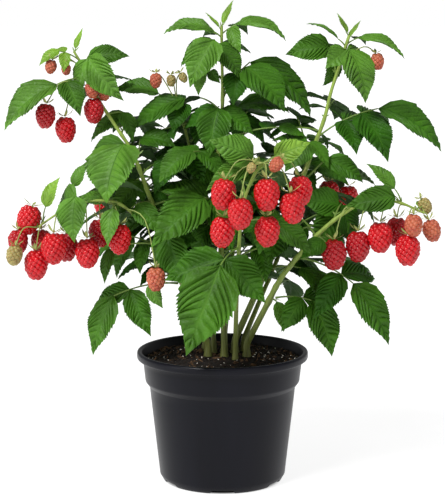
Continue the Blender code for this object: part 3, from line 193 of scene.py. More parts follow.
# Each limb: its way points in mm, its thickness at the foot and tip in mm, and the share of it
# above which everything is one mass. "on" names the limb it springs from, and "at" where.
limbTable = {
    "cane_centre": dict(
        ways=[(2, -10), (-1, -9, 250), (-6, -4, 350), (0, 0, 412), (-1, 0, 482), (-1, 0, 503)],
        thick=(7.4, 2.6), crown=0.70,
        leaves=[
            leaf(0.995, 35, 76, 5, 3, 28, 1, 12, 0.2, 0.62),
            leaf(0.985, 165, 60, 5, 3, 22, 1, 12, 0.2, 0.5),
            reach(0.90, (-9, -18, 489), (-35, -34, 438), nod=60, spread=56, slim=1.0, pair=0.85, tone=3),
            reach(0.80, (24, -6, 459), (67, -26, 411), nod=60, sides=(1,), spread=80, slim=1.1,
                  pair=0.7, tone=1),
            reach(0.965, (-10, -2, 496), (-64, -8, 494), nod=85, lean=0.4, slim=0.8, pair=0.6, tone=3),
            reach(0.975, (15, 0, 504), (69, -2, 486), nod=85, lean=0.4, slim=0.75, pair=0.62, tone=3),
            reach(0.72, (-5, -14, 416), (-14, -36, 364), nod=50, slim=1.05, tone=1),
            leaf(0.915, 92, 40, 30, 20, 48),
            reach(0.78, (30, 8, 464), (97, 18, 402), 1, nod=80, slim=0.7, tone=1),
            reach(0.84, (-19, 12, 456), (-26, 12, 427), nod=50, pair=1.0, spread=72, tone=3),
            reach(0.715, (17, 12, 415), (74, 12, 408), nod=70, lean=0.4, tone=1),
            reach(0.44, (-19, -38, 321), (-76, -76, 272), nod=45, slim=0.9, tone=2),
            leaf(0.58, 115, 42, 30, 42, 62, 5),
            leaf(0.50, 62, 30, 30, 46, 66, 3),
            leaf(0.36, 150, 20, 25, 54, 66, 3),
            leaf(0.60, 232, 30, 30, 30, 58, 3),
            leaf(0.32, 10, 20, 25, 34, 58, 3),
        ],
        berries=[],
    ),
    "cane_front": dict(
        ways=[(14, -24), (17, -45, 258), (23, -70, 322), (37, -96, 359), (42, -118, 366)],
        thick=(5.6, 2.6), crown=0.60,
        leaves=[
            reach(0.97, (32, -110, 371), (-14, -120, 390), 1, nod=45, lean=0.8, slim=1.05, tone=3),
            reach(0.975, (53, -110, 372), (90, -117, 387), 1, nod=50, lean=0.8, slim=0.95, tone=4),
            reach(0.93, (29, -102, 363), (-17, -108, 336), 1, nod=60, lean=0.6, slim=0.72, tone=3),
            leaf(0.86, 60, 30, 20, 16, 44, 3),
            reach(0.50, (-2, -92, 256), (-38, -116, 164), nod=26, spread=50, pair=0.7, tone=2),
            leaf(0.40, 170, 5, 30, 30, 58, 3),
            leaf(0.62, -20, 20, 30, 26, 54, 3),
        ],
        berries=[
            fruit(1.0, 3, -125, 352, 25, "ripe", 8), fruit(1.0, 1, -118, 311, 25, "ripe", 4),
            fruit(1.0, 18, -142, 333, 25, "ripe"), fruit(1.0, 45, -133, 352, 26, "ripe"),
            fruit(1.0, 46, -121, 312, 25, "ripe"), fruit(1.0, 69, -128, 337, 25, "ripe", -8),
            fruit(1.0, 79, -106, 352, 24, "ripe", -6), fruit(1.0, 60, -124, 374, 13, "orange", 40),
            fruit(0.93, 32, -130, 371, 9, "green", 30),
        ],
    ),
    "cane_right_front": dict(
        ways=[(27, -8), (50, -20, 203), (65, -28, 234), (82, -36, 257), (116, -40, 294),
              (160, -40, 319), (192, -40, 315), (217, -38, 304)],
        thick=(7.6, 2.2), crown=0.68,
        leaves=[
            reach(0.45, (141, -40, 228), (180, -48, 161), nod=45, slim=0.82, tone=1),
            reach(0.25, (97, -34, 208), (119, -42, 147), nod=40, slim=0.95, pair=0.7, tone=1),
            reach(0.235, (59, -28, 206), (67, -32, 172), 1, nod=30, slim=0.8, tone=3),
            reach(0.64, (130, -12, 312), (95, -24, 264), nod=44, slim=1.12, tone=1),
            reach(0.90, (185, -46, 323), (131, -50, 313), 1, nod=70, slim=0.8, tone=2),
            reach(0.91, (185, -36, 330), (154, -32, 357), 1, nod=50, slim=0.7, tone=3),
            leaf(0.97, 60, 45, 20, 4, 22, 1, 30, 0.5, 0.7),
            leaf(0.30, 70, 10, 20, 34, 56, 3, 50),
            leaf(0.40, 60, 20, 30, 30, 56, 3),
            leaf(0.56, -60, -10, 20, 10, 46, 3, 50),
            leaf(0.70, 70, 30, 30, 26, 48, 3),
        ],
        berries=[
            fruit(0.77, 120, -46, 277, 26, "dark"), fruit(0.83, 146, -40, 285, 26, "dark"),
            fruit(0.88, 169, -48, 296, 26, "ripe"), fruit(0.92, 189, -26, 298, 24, "dark"),
            fruit(0.95, 198, -54, 283, 26, "ripe"), fruit(0.97, 203, -58, 307, 19, "orange"),
            fruit(0.99, 222, -38, 297, 19, "orange", -16), fruit(1.0, 214, -34, 320, 14, "green", -30),
        ],
    ),
    "cane_right": dict(
        ways=[(14, 12), (44, 10, 223), (56, 12, 251), (80, 12, 312), (95, 8, 357), (113, 4, 408),
              (121, 0, 445), (134, 0, 479), (137, 0, 493)],
        thick=(7.8, 2.8), crown=0.65,
        leaves=[
            leaf(0.995, 150, 70, 5, 3, 26, 1, 12, 0.2, 0.6),
            leaf(0.985, 25, 62, 5, 3, 22, 1, 12, 0.2, 0.55),
            reach(0.935, (135, -12, 479), (153, -28, 421), nod=50, slim=1.12, pair=0.62, tone=3),
            reach(0.87, (117, 6, 481), (68, 4, 472), 5, nod=80, pair=0.8, slim=0.9, tone=2),
            reach(0.965, (125, 0, 489), (90, 0, 505), 1, nod=65, lean=0.3, slim=0.55, tone=3),
            reach(0.97, (147, 0, 490), (197, -6, 467), nod=70, lean=0.4, slim=0.75, pair=0.62, tone=3),
            leaf(0.93, 88, 40, 30, 18, 46),
            reach(0.60, (82, 22, 403), (90, 76, 388), spread=82, pair=0.95, nod=60, lean=0.3, tone=1),
            reach(0.69, (169, -2, 414), (238, -10, 367), 5, nod=60, spread=46, lean=0.45, slim=0.92, tone=1),
            reach(0.54, (112, -14, 360), (153, -14, 334), 1, nod=60, slim=0.85, sag=4, tone=1),
            reach(0.48, (93, 36, 350), (140, 28, 326), nod=60, lean=0.5, tone=1),
            leaf(0.74, 72, 38, 30, 38, 60, 5),
            leaf(0.52, 150, 30, 30, 34, 60, 3),
            leaf(0.46, 44, 30, 30, 46, 66, 3),
            leaf(0.40, 262, 26, 30, 30, 60, 3),
            leaf(0.34, 95, 30, 30, 48, 66, 5),
            leaf(0.66, 250, 30, 30, 22, 50, 3),
            leaf(0.27, -20, 20, 25, 34, 56, 3),
            reach(0.36, (134, -5, 308), (100, -8, 274), 1, nod=45, slim=1.15, tone=0),
        ],
        berries=[fruit(0.93, 166, -4, 474, 14, "orange", -10)],
    ),
    "cane_left": dict(
        ways=[(-16, -6), (-41, -14, 216), (-68, -16, 288), (-90, -12, 348), (-104, -8, 378),
              (-129, -4, 414), (-145, 0, 448), (-161, 0, 476)],
        thick=(7.4, 2.4), crown=0.65,
        leaves=[
            leaf(0.995, 55, 72, 5, 3, 28, 1, 15, 0.2, 0.55),
            reach(0.97, (-176, -4, 476), (-198, -8, 460), nod=60, slim=0.85, pair=0.9, tone=4),
            reach(0.94, (-144, -16, 471), (-105, -34, 424), nod=55, pair=0.72, slim=0.85, tone=3),
            reach(0.91, (-178, -14, 441), (-234, -30, 392), nod=50, lean=0.5, sides=(-1,), pair=0.72,
                  spread=60, slim=0.92, tone=3),
            leaf(0.86, 88, 40, 30, 22, 52),
            reach(0.79, (-105, 12, 408), (-141, 4, 373), nod=70, slim=0.8, tone=2),
            reach(0.66, (-106, -30, 378), (-123, -62, 317), nod=50, slim=1.42, pair=0.7, spread=52,
                  sides=(1,), tone=3),
            leaf(0.72, 64, 48, 40, 26, 44),
            reach(0.54, (-90, 8, 334), (-120, 0, 294), nod=50, tone=3),
            reach(0.24, (-118, -34, 213), (-141, -40, 148), nod=40, slim=0.8, spread=58, tone=2),
            reach(0.40, (-58, -50, 280), (-41, -66, 233), nod=45, slim=1.12, pair=0.66, tone=1),
            reach(0.36, (-121, -24, 264), (-128, -30, 225), 1, nod=35, slim=0.7, tone=2),
            reach(0.27, (-78, -40, 228), (-64, -50, 202), 1, nod=40, slim=0.9, tone=3),
            leaf(0.33, 128, 30, 30, 44, 66, 5),
            leaf(0.60, 112, 36, 30, 36, 62, 5),
            leaf(0.47, 20, 30, 30, 26, 54, 3),
            leaf(0.50, 235, 10, 30, 24, 54, 3),
            reach(0.61, (-90, 2, 380), (-50, -8, 372), 1, nod=60, lean=0.4, slim=1.1, tone=1),
        ],
        berries=[
            fruit(0.88, -189, -22, 421, 21, "dark", 6), fruit(0.88, -171, -10, 406, 22, "ripe", -4),
            fruit(0.82, -139, -14, 426, 21, "dark"), fruit(0.86, -140, -24, 447, 15, "orange"),
            fruit(0.85, -128, -12, 442, 14, "orange"), fruit(0.94, -184, -10, 468, 12, "orange", 10),
            fruit(0.94, -169, -8, 464, 10, "orange"),
        ],
    ),
    "cane_left_centre": dict(
        ways=[(-10, 12), (-20, 16, 244), (-29, 22, 322), (-36, 22, 370), (-44, 20, 397), (-50, 20, 418)],
        thick=(6.2, 2.4), crown=0.70,
        leaves=[
            reach(0.95, (-41, 14, 424), (-100, 6, 388), nod=50, lean=0.55, pair=0.66, slim=0.95, tone=1),
            reach(0.93, (-70, 30, 428), (-122, 30, 430), nod=60, lean=0.4, tone=2),
            leaf(0.90, 10, 32, 25, 14, 46, 3, 60),
            leaf(0.88, 98, 40, 30, 22, 56, 3),
            reach(0.76, (-41, 0, 368), (-74, -22, 322), nod=50, tone=0),
            leaf(0.74, -30, 20, 30, 20, 54, 3),
            leaf(0.55, 190, 20, 25, 30, 64, 3),
            leaf(0.52, -60, 10, 30, 18, 56, 3),
            leaf(0.42, 120, 30, 30, 44, 66, 3),
        ],
        berries=[fruit(1.0, -73, 14, 452, 13, "orange"), fruit(1.0, -56, 12, 450, 10, "green"),
                 fruit(1.0, -46, 14, 452, 9, "green", -30)],
    ),
    "cane_back": dict(
        ways=[(2, 26), (12, 66, 250), (20, 108, 344), (24, 134, 396)],
        thick=(6.6, 2.4), crown=0.30, leaves=spiral(9, 0.34, 0.98, 60, 74, 44), berries=[],
    ),
    "cane_back_left": dict(
        ways=[(-20, 22), (-54, 70, 228), (-92, 112, 306), (-112, 134, 350)],
        thick=(6.2, 2.2), crown=0.30, leaves=spiral(8, 0.34, 0.98, 140, 74, 42),
        berries=[fruit(0.9, -112, 92, 318, 24, "ripe"), fruit(0.9, -138, 110, 310, 23, "ripe")],
    ),
    "cane_back_right": dict(
        ways=[(24, 20), (62, 66, 236), (100, 106, 318), (118, 128, 360)],
        thick=(6.2, 2.2), crown=0.30, leaves=spiral(8, 0.34, 0.98, 20, 74, 42),
        berries=[fruit(0.9, 122, 84, 326, 24, "ripe"), fruit(0.9, 146, 104, 318, 23, "ripe")],
    ),
    "bough_left": dict(
        on="cane_left", at=0.42,
        ways=[(-81, -28, 288), (-100, -45, 309), (-121, -50, 319), (-151, -52, 317),
              (-176, -50, 305), (-198, -48, 290)],
        thick=(3.6, 2.0), crown=0.30,
        leaves=[
            reach(0.66, (-155, -66, 326), (-156, -76, 277), nod=40, slim=1.25, sides=(1,), spread=75, tone=3),
            reach(0.95, (-189, -50, 312), (-173, -46, 344), 1, nod=50, slim=0.85, tone=4),
            reach(0.36, (-125, -45, 322), (-154, -52, 332), 1, nod=60, slim=0.8, tone=3),
            leaf(0.40, -112, -8, 30, 10, 44, 1, 40, 0.6, 0.8),
            leaf(0.50, 84, 40, 30, 22, 52, 3),
            reach(0.72, (-160, -40, 333), (-144, -38, 360), 1, nod=30, slim=0.9, tone=3),
        ],
        berries=[
            fruit(0.34, -71, -62, 249, 20, "orange"), fruit(0.95, -196, -32, 286, 22, "dark"),
            fruit(0.46, -110, -58, 295, 25, "ripe"), fruit(0.52, -132, -38, 298, 24, "dark"),
            fruit(0.62, -144, -60, 280, 25, "ripe"), fruit(0.78, -179, -68, 287, 26, "ripe"),
            fruit(0.78, -168, -42, 283, 24, "dark"), fruit(0.90, -199, -58, 267, 25, "ripe"),
            fruit(1.0, -204, -42, 313, 25, "ripe", 14), fruit(1.0, -219, -46, 289, 21, "dark"),
            fruit(1.0, -219, -70, 274, 17, "green", 8),
        ],
    ),
}


def direction(heading, rise):
    across, height = math.radians(heading), math.radians(rise)
    level = math.cos(height)
    return Vector((math.cos(across) * level, math.sin(across) * level, math.sin(height)))


def squareTo(vector, axis):
    # the part of a vector that is square to an axis, at length 1
    rest = vector - vector.dot(axis) * axis
    return rest.normalized() if rest.length > 1e-6 else axis.orthogonal().normalized()


class Arc:
    # A stalk or a midrib: it starts along ahead and bends away from its face by bend radians.
    def __init__(self, start, ahead, face, length, bend):
        self.start, self.ahead, self.length = start, ahead, length
        self.face = squareTo(face, ahead)
        self.bend = bend if abs(bend) > 1e-4 else 1e-4

    def point(self, share):
        turned = self.bend * share
        reach = self.ahead * math.sin(turned) - self.face * (1 - math.cos(turned))
        return self.start + self.length / self.bend * reach

    def axes(self, share):
        # ahead, face and side at a place on the arc
        turned = self.bend * share
        ahead = self.ahead * math.cos(turned) - self.face * math.sin(turned)
        face = self.face * math.cos(turned) + self.ahead * math.sin(turned)
        return ahead, face, ahead.cross(face)


def smoothLine(ways, pieces=4):
    ends = [2 * ways[0] - ways[1], *ways, 2 * ways[-1] - ways[-2]]
    line = []
    for i in range(len(ways) - 1):
        a, b, c, d = ends[i:i + 4]
        for k in range(pieces):
            t = k / pieces
            line.append(0.5 * (2 * b + (c - a) * t + (2 * a - 5 * b + 4 * c - d) * t ** 2
                               + (3 * b - a - 3 * c + d) * t ** 3))
    return [*line, ways[-1]]


class Limb:
    # A cane or a bough: a smooth line that tapers from its foot to its tip.
    def __init__(self, line, thickFoot, thickTip, flared):
        self.line = line
        self.foot, self.tip, self.flared = thickFoot / 2, thickTip / 2, flared
        self.along = [0.0]
        for a, b in zip(line, line[1:]):
            self.along.append(self.along[-1] + (b - a).length)
        self.length = self.along[-1]

    def point(self, share):
        wanted = min(max(share, 0.0), 1.0) * self.length
        i = next(k for k in range(1, len(self.along)) if self.along[k] >= wanted - 1e-9)
        part = (wanted - self.along[i - 1]) / (self.along[i] - self.along[i - 1])
        return self.line[i - 1].lerp(self.line[i], part)

    def ahead(self, share):
        return (self.point(min(1.0, share + 0.02)) - self.point(max(0.0, share - 0.02))).normalized()

    def radius(self, share):
        plain = self.foot + (self.tip - self.foot) * share
        near = max(0.0, 1 - share * self.length / caneShape["flareHeight"]) if self.flared else 0.0
        return plain * (1 + (caneShape["flare"] - 1) * near ** 2)


def barkClear(limb, at, out, thick, leastSlant):
    # how far from a limb's middle a shape of half width thick starts, to stand clear of the bark
    slant = max(leastSlant, math.sqrt(max(0.0, 1 - out.dot(limb.ahead(at)) ** 2)))
    return (limb.radius(at) + 2 * gap + thick * math.sqrt(1 - slant ** 2)) / slant


def growLimbs():
    limbs = {}
    flare = upWay * caneShape["flareHeight"]
    for name, habit in limbTable.items():
        ways = [Vector(way) * mm for way in habit["ways"] if len(way) == 3]
        thickFoot, thickTip = (value * mm for value in habit["thick"])
        if "on" in habit:
            bearer = limbs[habit["on"]]
            start = bearer.point(habit["at"])
            out = (ways[0] - start).normalized()
            clear = barkClear(bearer, habit["at"], out, thickFoot / 2, caneShape["leastSlant"])
            ways = [start + out * clear, start + out * (clear + 3 * mm), *ways]
        else:
            x, y = habit["ways"][0]
            foot = Vector((x * mm, y * mm, soilShape["top"] + gap))
            ways = [foot, foot + flare / 2, foot + flare, *ways]
        fine = Limb(smoothLine(ways), thickFoot, thickTip, False)
        rings = max(4, round(fine.length / caneShape["ringSpacing"]))
        line = [fine.point(i / rings) for i in range(rings + 1)]
        if "on" not in habit:
            line = [foot, foot + flare / 3, foot + flare, *line[1:]]
        limbs[name] = Limb(line, thickFoot, thickTip, "on" not in habit)
    return limbs


def ringQuads(rings, sides):
    # the quads between rings of points that follow one another
    quads = []
    for i in range(rings - 1):
        for k in range(sides):
            a, b = sides * i + k, sides * i + (k + 1) % sides
            quads.append((a, b, b + sides, a + sides))
    return quads


def halfWidth(share):
    # an egg-shaped outline with a drawn-out tip, 1 at its widest
    scale, rootPower, tipPower = leafShape["outline"]
    return scale * share ** rootPower * (1 - share) ** tipPower


def bladeStation(blade, share, grow=0.0):
    # the cross-section of a leaflet: its middle, its two directions and its half sizes
    _, face, side = blade["arc"].axes(share)
    wide = blade["width"] * halfWidth(share) + grow
    return blade["arc"].point(share), side, face, wide, leafShape["thickness"] * blade["length"] / 2 + grow


def cornersOf(station):
    middle, side, face, wide, thick = station
    return [middle + side * (a * wide) + face * (b * thick) for a, b in ((-1, -1), (1, -1), (1, 1), (-1, 1))]


def bladeSkin(blade, grow=0.0):
    # a leaflet's skin without its narrow root, only to test what it would touch
    arc, rootAt = blade["arc"], leafShape["rootAt"]
    _, face, side = arc.axes(rootAt)
    rootWidth = leafShape["rootWidth"] * blade["width"]
    verts = cornersOf((arc.point(rootAt), side, face, rootWidth, leafShape["stalkRadius"]))
    for share in leafShape["skinAt"]:
        verts += cornersOf(bladeStation(blade, share, grow))
    faces = ringQuads(len(verts) // 4, 4)
    last = len(verts)
    verts.append(arc.point(1.0) + arc.axes(1.0)[0] * grow)
    faces += [(last - 4 + k, last - 4 + (k + 1) % 4, last) for k in range(4)]
    faces.append((3, 2, 1, 0))
    return Room.shape(verts, faces)


def berrySolid(berry, grow=0.0):
    # egg-shaped, hanging by its broad end
    solid = bmesh.new()
    bmesh.ops.create_uvsphere(solid, u_segments=6, v_segments=4, radius=1.0)
    half = berry["width"] / 2
    turn = upWay.rotation_difference(berry["up"])
    for vertex in solid.verts:
        x, y, z = vertex.co
        broad = (1.0 + fruitShape["broad"] * z) * (half + grow)
        shaped = Vector((x * broad, y * broad, z * (half * fruitShape["stretch"] + grow)))
        vertex.co = berry["centre"] + turn @ shaped
    return solid


def tubeSkin(points, radius):
    # a plain three-sided tube round a line, only to test what it would touch
    verts = []
    for i, point in enumerate(points):
        ahead = (points[min(i + 1, len(points) - 1)] - points[max(i - 1, 0)]).normalized()
        one = ahead.orthogonal().normalized() * radius
        two = ahead.cross(one)
        for k in range(3):
            turned = 2 * math.pi * k / 3
            verts.append(point + one * math.cos(turned) + two * math.sin(turned))
    return verts, ringQuads(len(points), 3)


class Room:
    # What already stands in the crown, so that nothing else grows through it.
    def __init__(self):
        self.held = []

    @staticmethod
    def shape(verts, faces):
        low = Vector(min(v[i] for v in verts) for i in range(3))
        high = Vector(max(v[i] for v in verts) for i in range(3))
        return BVHTree.FromPolygons(verts, faces), low, high

    def free(self, shape, beside=()):
        tree, low, high = shape
        for other, otherLow, otherHigh, owner in self.held:
            if owner in beside:
                continue
            apart = any(low[i] > otherHigh[i] or high[i] < otherLow[i] for i in range(3))
            if not apart and tree.overlap(other):
                return False
        return True

    def take(self, shape, owner):
        self.held.append((*shape, owner))


def solidShape(solid):
    verts = [vertex.co.copy() for vertex in solid.verts]
    faces = [tuple(vertex.index for vertex in face.verts) for face in solid.faces]
    solid.free()
    return Room.shape(verts, faces)


def stalkShape(stalk, grow, first=0.0):
    pieces = leafShape["stalkPieces"]
    points = [stalk.point(first + (1 - first) * i / pieces) for i in range(pieces + 1)]
    return Room.shape(*tubeSkin(points, leafShape["stalkRadius"] + grow))


def openSide(place):
    # the side that a leaf turns its face to: outwards, and in front towards the light
    out = Vector((place.x, place.y, 0.0))
    out = out.normalized() if out.length > 1e-4 else frontWay.copy()
    if place.y >= leafShape["facingDepth"]:
        return out
    outShare, frontShare = leafShape["facing"]
    return (out * outShare + frontWay * frontShare).normalized()


def chordArc(start, end, face, bend):
    # an arc from start to end that bows towards its face
    chord = (end - start).normalized()
    face = squareTo(face, chord)
    ahead = chord * math.cos(bend / 2) + face * math.sin(bend / 2)
    length = (end - start).length * (bend / 2) / math.sin(bend / 2)
    return Arc(start, ahead, face, length, bend)


def leafStalk(limb, habit, fused, turn):
    # a fused stalk starts inside its limb, and another one a hair clear of the bark
    at, bend = habit["at"], math.radians(habit["sag"])
    centre = limb.point(at)
    if habit["hub"]:
        ahead = chordArc(centre, habit["hub"], upWay, bend).ahead
    else:
        ahead = direction(habit["heading"] + turn, habit["rise"])
    thick = leafShape["stalkFoot"] * leafShape["stalkRadius"]
    clear = barkClear(limb, at, ahead, thick, leafShape["leastSlant"])
    start = centre + ahead * (0.0 if fused else clear)
    if habit["hub"]:
        return chordArc(start, habit["hub"], upWay, bend)
    face = upWay if habit["rise"] < leafShape["steepRise"] else -direction(habit["heading"], 0)
    length = habit["stalk"] * (1.0 if habit["count"] == 1 else leafShape["stalkStretch"])
    length += limb.radius(at) if fused else 0.0
    return Arc(start, ahead, face, length, bend)


def leafBlades(stalk, habit, seed):
    # the leaflets of one compound leaf: one at the end, then one or two pairs
    chance = random.Random(seed)
    lowSpread = habit["spread"] + leafShape["lowPairMore"]
    pairs = [(leafShape["pairAt"], habit["spread"], habit["pair"]),
             (leafShape["lowPairAt"], lowSpread, leafShape["lowPairSize"])]
    places = [(1.0, 0.0, 1.0)]
    for at, spread, size in pairs[:(habit["count"] - 1) // 2]:
        places += [(at, side * spread, size) for side in habit["sides"]]
    hub = stalk.point(1.0)
    light = openSide(hub)
    nod = habit["nod"]
    if habit["hub"]:
        face = upWay * (1 - habit["lean"]) + light * habit["lean"]
        main = chordArc(hub, habit["tip"], face, math.radians(nod))
        ahead, face, length = main.ahead, main.face, main.length
    else:
        ahead, face, _ = stalk.axes(1.0)
        face = squareTo(face * 0.9 + light * habit["lean"], ahead)
        # a share of the nod is taken at the blade's base, and the rest along its length
        base = math.radians(nod * leafShape["baseNod"])
        ahead, face = (ahead * math.cos(base) - face * math.sin(base),
                       face * math.cos(base) + ahead * math.sin(base))
        length = habit["blade"]
        nod *= 1 - leafShape["baseNod"]
    blades = []
    for at, turn, size in places:
        loose = turn != 0.0 or not habit["hub"]
        blades.append(dict(
            place=stalk.point(at), ahead=ahead, face=face, slim=habit["slim"],
            turn=turn + chance.uniform(*leafShape["looseTurn"]) * loose,
            size=length * size * (chance.uniform(*leafShape["looseSize"]) if loose else 1.0),
            nod=nod * (chance.uniform(*leafShape["looseNod"]) if loose else 1.0),
            roll=chance.uniform(*leafShape["looseRoll"]) * loose))
    return blades


def placeBlade(plan, tried):
    turn, nod, size = tried
    side = plan["ahead"].cross(plan["face"])
    rolled = math.radians(plan["roll"])
    face = plan["face"] * math.cos(rolled) + side * math.sin(rolled)
    side = plan["ahead"].cross(face)
    swung = math.radians(plan["turn"] + turn)
    ahead = plan["ahead"] * math.cos(swung) + side * math.sin(swung)
    length = plan["size"] * size
    arc = Arc(plan["place"], ahead, face, length, math.radians(plan["nod"] + nod))
    width = length * leafShape["halfWidth"] * plan["slim"]
    return dict(arc=arc, length=length, width=width)


def growLeaf(limb, limbName, habit, room, owner, seed):
    fused = owner.startswith("crown")
    for turn in stalkTurns:
        stalk = leafStalk(limb, habit, fused, turn)
        first = min(0.5, leafShape["footRoom"] / stalk.length)
        outer = stalkShape(stalk, 0.2 * leafShape["room"], first)
        apart = room.free(stalkShape(stalk, leafShape["room"]), (limbName, owner))
        if apart and (fused or room.free(outer, (owner,))):
            break
    else:
        return None
    grown, own = [], Room()
    for plan in leafBlades(stalk, habit, seed):
        for tried in bladeTries:
            blade = placeBlade(plan, tried)
            lowest = min(blade["arc"].point(1.0).z, blade["arc"].point(0.6).z)
            shape = bladeSkin(blade, leafShape["room"])
            beside = (limbName, owner) if fused and habit["count"] == 1 else ()
            high = lowest > soilShape["top"] + leafShape["overSoil"]
            if high and room.free(shape, beside) and own.free(shape):
                grown.append(blade)
                own.take(bladeSkin(blade), owner)
                break
    if not grown:
        return None
    room.take(stalkShape(stalk, 0.0), owner)
    for blade in grown:
        room.take(bladeSkin(blade), owner)
    return dict(stalk=stalk, blades=grown, at=habit["at"], tone=habit["tone"])


def pedicelLine(start, berry):
    # the fruit's stalk leaves the limb, then bends over and hangs
    end = berry["top"]
    span = max(fruitShape["shortest"], (end - start).length)
    out = Vector((end.x - start.x, end.y - start.y, 0.0))
    lift = upWay * (fruitShape["lift"] * span) + out * fruitShape["reachOut"]
    above = end + berry["up"] * fruitShape["hang"] * span
    return interpolate_bezier(start, start + lift, above, end, fruitShape["stalkPieces"] + 1)


def growBerry(limb, habit, room, owner):
    half = habit["width"] / 2 * fruitShape["stretch"]
    tilt = math.radians(habit["tilt"])
    up = Vector((math.sin(tilt), 0.0, math.cos(tilt)))
    start = limb.point(habit["at"])
    for nudge in fruitShape["nudges"]:
        lower = upWay * (-abs(nudge) * fruitShape["nudgeDrop"] * mm)
        top = habit["top"] + frontWay * (nudge * mm) + lower
        berry = dict(
            top=top, up=up, centre=top - up * half, width=habit["width"], stage=habit["stage"])
        if room.free(solidShape(berrySolid(berry, leafShape["room"]))):
            room.take(solidShape(berrySolid(berry)), owner)
            berry["stalk"] = pedicelLine(start, berry)
            room.take(Room.shape(*tubeSkin(berry["stalk"], fruitShape["stalkRadius"])), owner)
            return berry
    return None


def shortName(limbName):
    return limbName.removeprefix("cane_")


def crownName(limbName):
    return f"crown_{shortName(limbName)}"


def growPlant():
    # Limbs first, then fruit, then leaves: what comes later keeps clear of what is there.
    limbs = growLimbs()
    room = Room()
    for name, limb in limbs.items():
        pieces = caneShape["skinPieces"]
        points = [limb.point(i / pieces) for i in range(pieces + 1)]
        room.take(Room.shape(*tubeSkin(points, limb.radius(caneShape["skinAt"]))), name)
    masses = {}
    orders = []  # first the leaves of the outline, then fruit, then the other leaves
    for k, name in enumerate(limbs):
        below = 0
        for i, habit in enumerate(limbTable[name]["leaves"]):
            inside = habit["at"] >= limbTable[name]["crown"]
            below += not inside
            owner = crownName(name) if inside else f"leaf_{shortName(name)}_{below}"
            orders.append((0 if habit["hub"] else 2, name, owner, habit, 100 * k + i))
        orders += [(1, name, crownName(name), habit, 0) for habit in limbTable[name]["berries"]]
    orders.sort(key=lambda order: order[0])
    for rank, name, owner, habit, seed in orders:
        if rank == 1:
            grown = growBerry(limbs[name], habit, room, owner)
        else:
            grown = growLeaf(limbs[name], name, habit, room, owner, seed)
        if not grown:
            continue
        mass = masses.setdefault(owner, dict(limb=name, leaves=[], berries=[]))
        mass["berries" if rank == 1 else "leaves"].append(grown)
    return limbs, dict(sorted(masses.items())), room


# Extra leaves that only show: smaller ones, between those of the solids and within their reach.
fillHabit = {
    "perLimb": 22,
    "first": 0.24,
    "last": 0.93,
    "heading": (0, 360),
    "rise": (5, 45),
    "sag": 28,
    "stalk": (18, 52),  # mm
    "blade": (34, 60),  # mm
    "nod": (35, 70),
    "lean": 0.6,
    "inside": (0.3, 0.65, 1.0),  # where a leaflet is tested to lie in a dense part
    "seed": 9000,
}
# where the crown is dense, as middle and half sizes in mm; the sky shows elsewhere
denseParts = [
    ((0, 48, 306), (146, 84, 88)),
    ((-58, 34, 392), (58, 56, 40)),
    ((58, 34, 392), (66, 56, 42)),
    ((0, 105, 320), (120, 80, 75)),
]


def inDensePart(point):
    for middle, half in denseParts:
        if sum(((point[i] / mm - middle[i]) / half[i]) ** 2 for i in range(3)) < 1:
            return True
    return False


def growFill(limbs, room):
    chance = random.Random(fillHabit["seed"])
    first, last, count = fillHabit["first"], fillHabit["last"], fillHabit["perLimb"]

    def drawn(key):
        return chance.uniform(*fillHabit[key])

    grown = []
    for name, limb in limbs.items():
        for i in range(count):
            share = first + (last - first) * i / count
            habit = leaf(share, drawn("heading"), drawn("rise"), fillHabit["sag"], drawn("stalk"),
                         drawn("blade"), 3, drawn("nod"), fillHabit["lean"])
            seed = fillHabit["seed"] + 100 * len(grown) + i
            found = growLeaf(limb, name, habit, room, "fill", seed)
            if not found:
                continue
            found["blades"] = [
                blade for blade in found["blades"]
                if all(inDensePart(blade["arc"].point(s)) for s in fillHabit["inside"])]
            if found["blades"]:
                found["limb"] = name
                grown.append(found)
    return grown


limbs, masses, room = growPlant()
fillLeaves = growFill(limbs, room)
print("grown:", len(masses), "masses and", len(fillLeaves), "extra leaves")


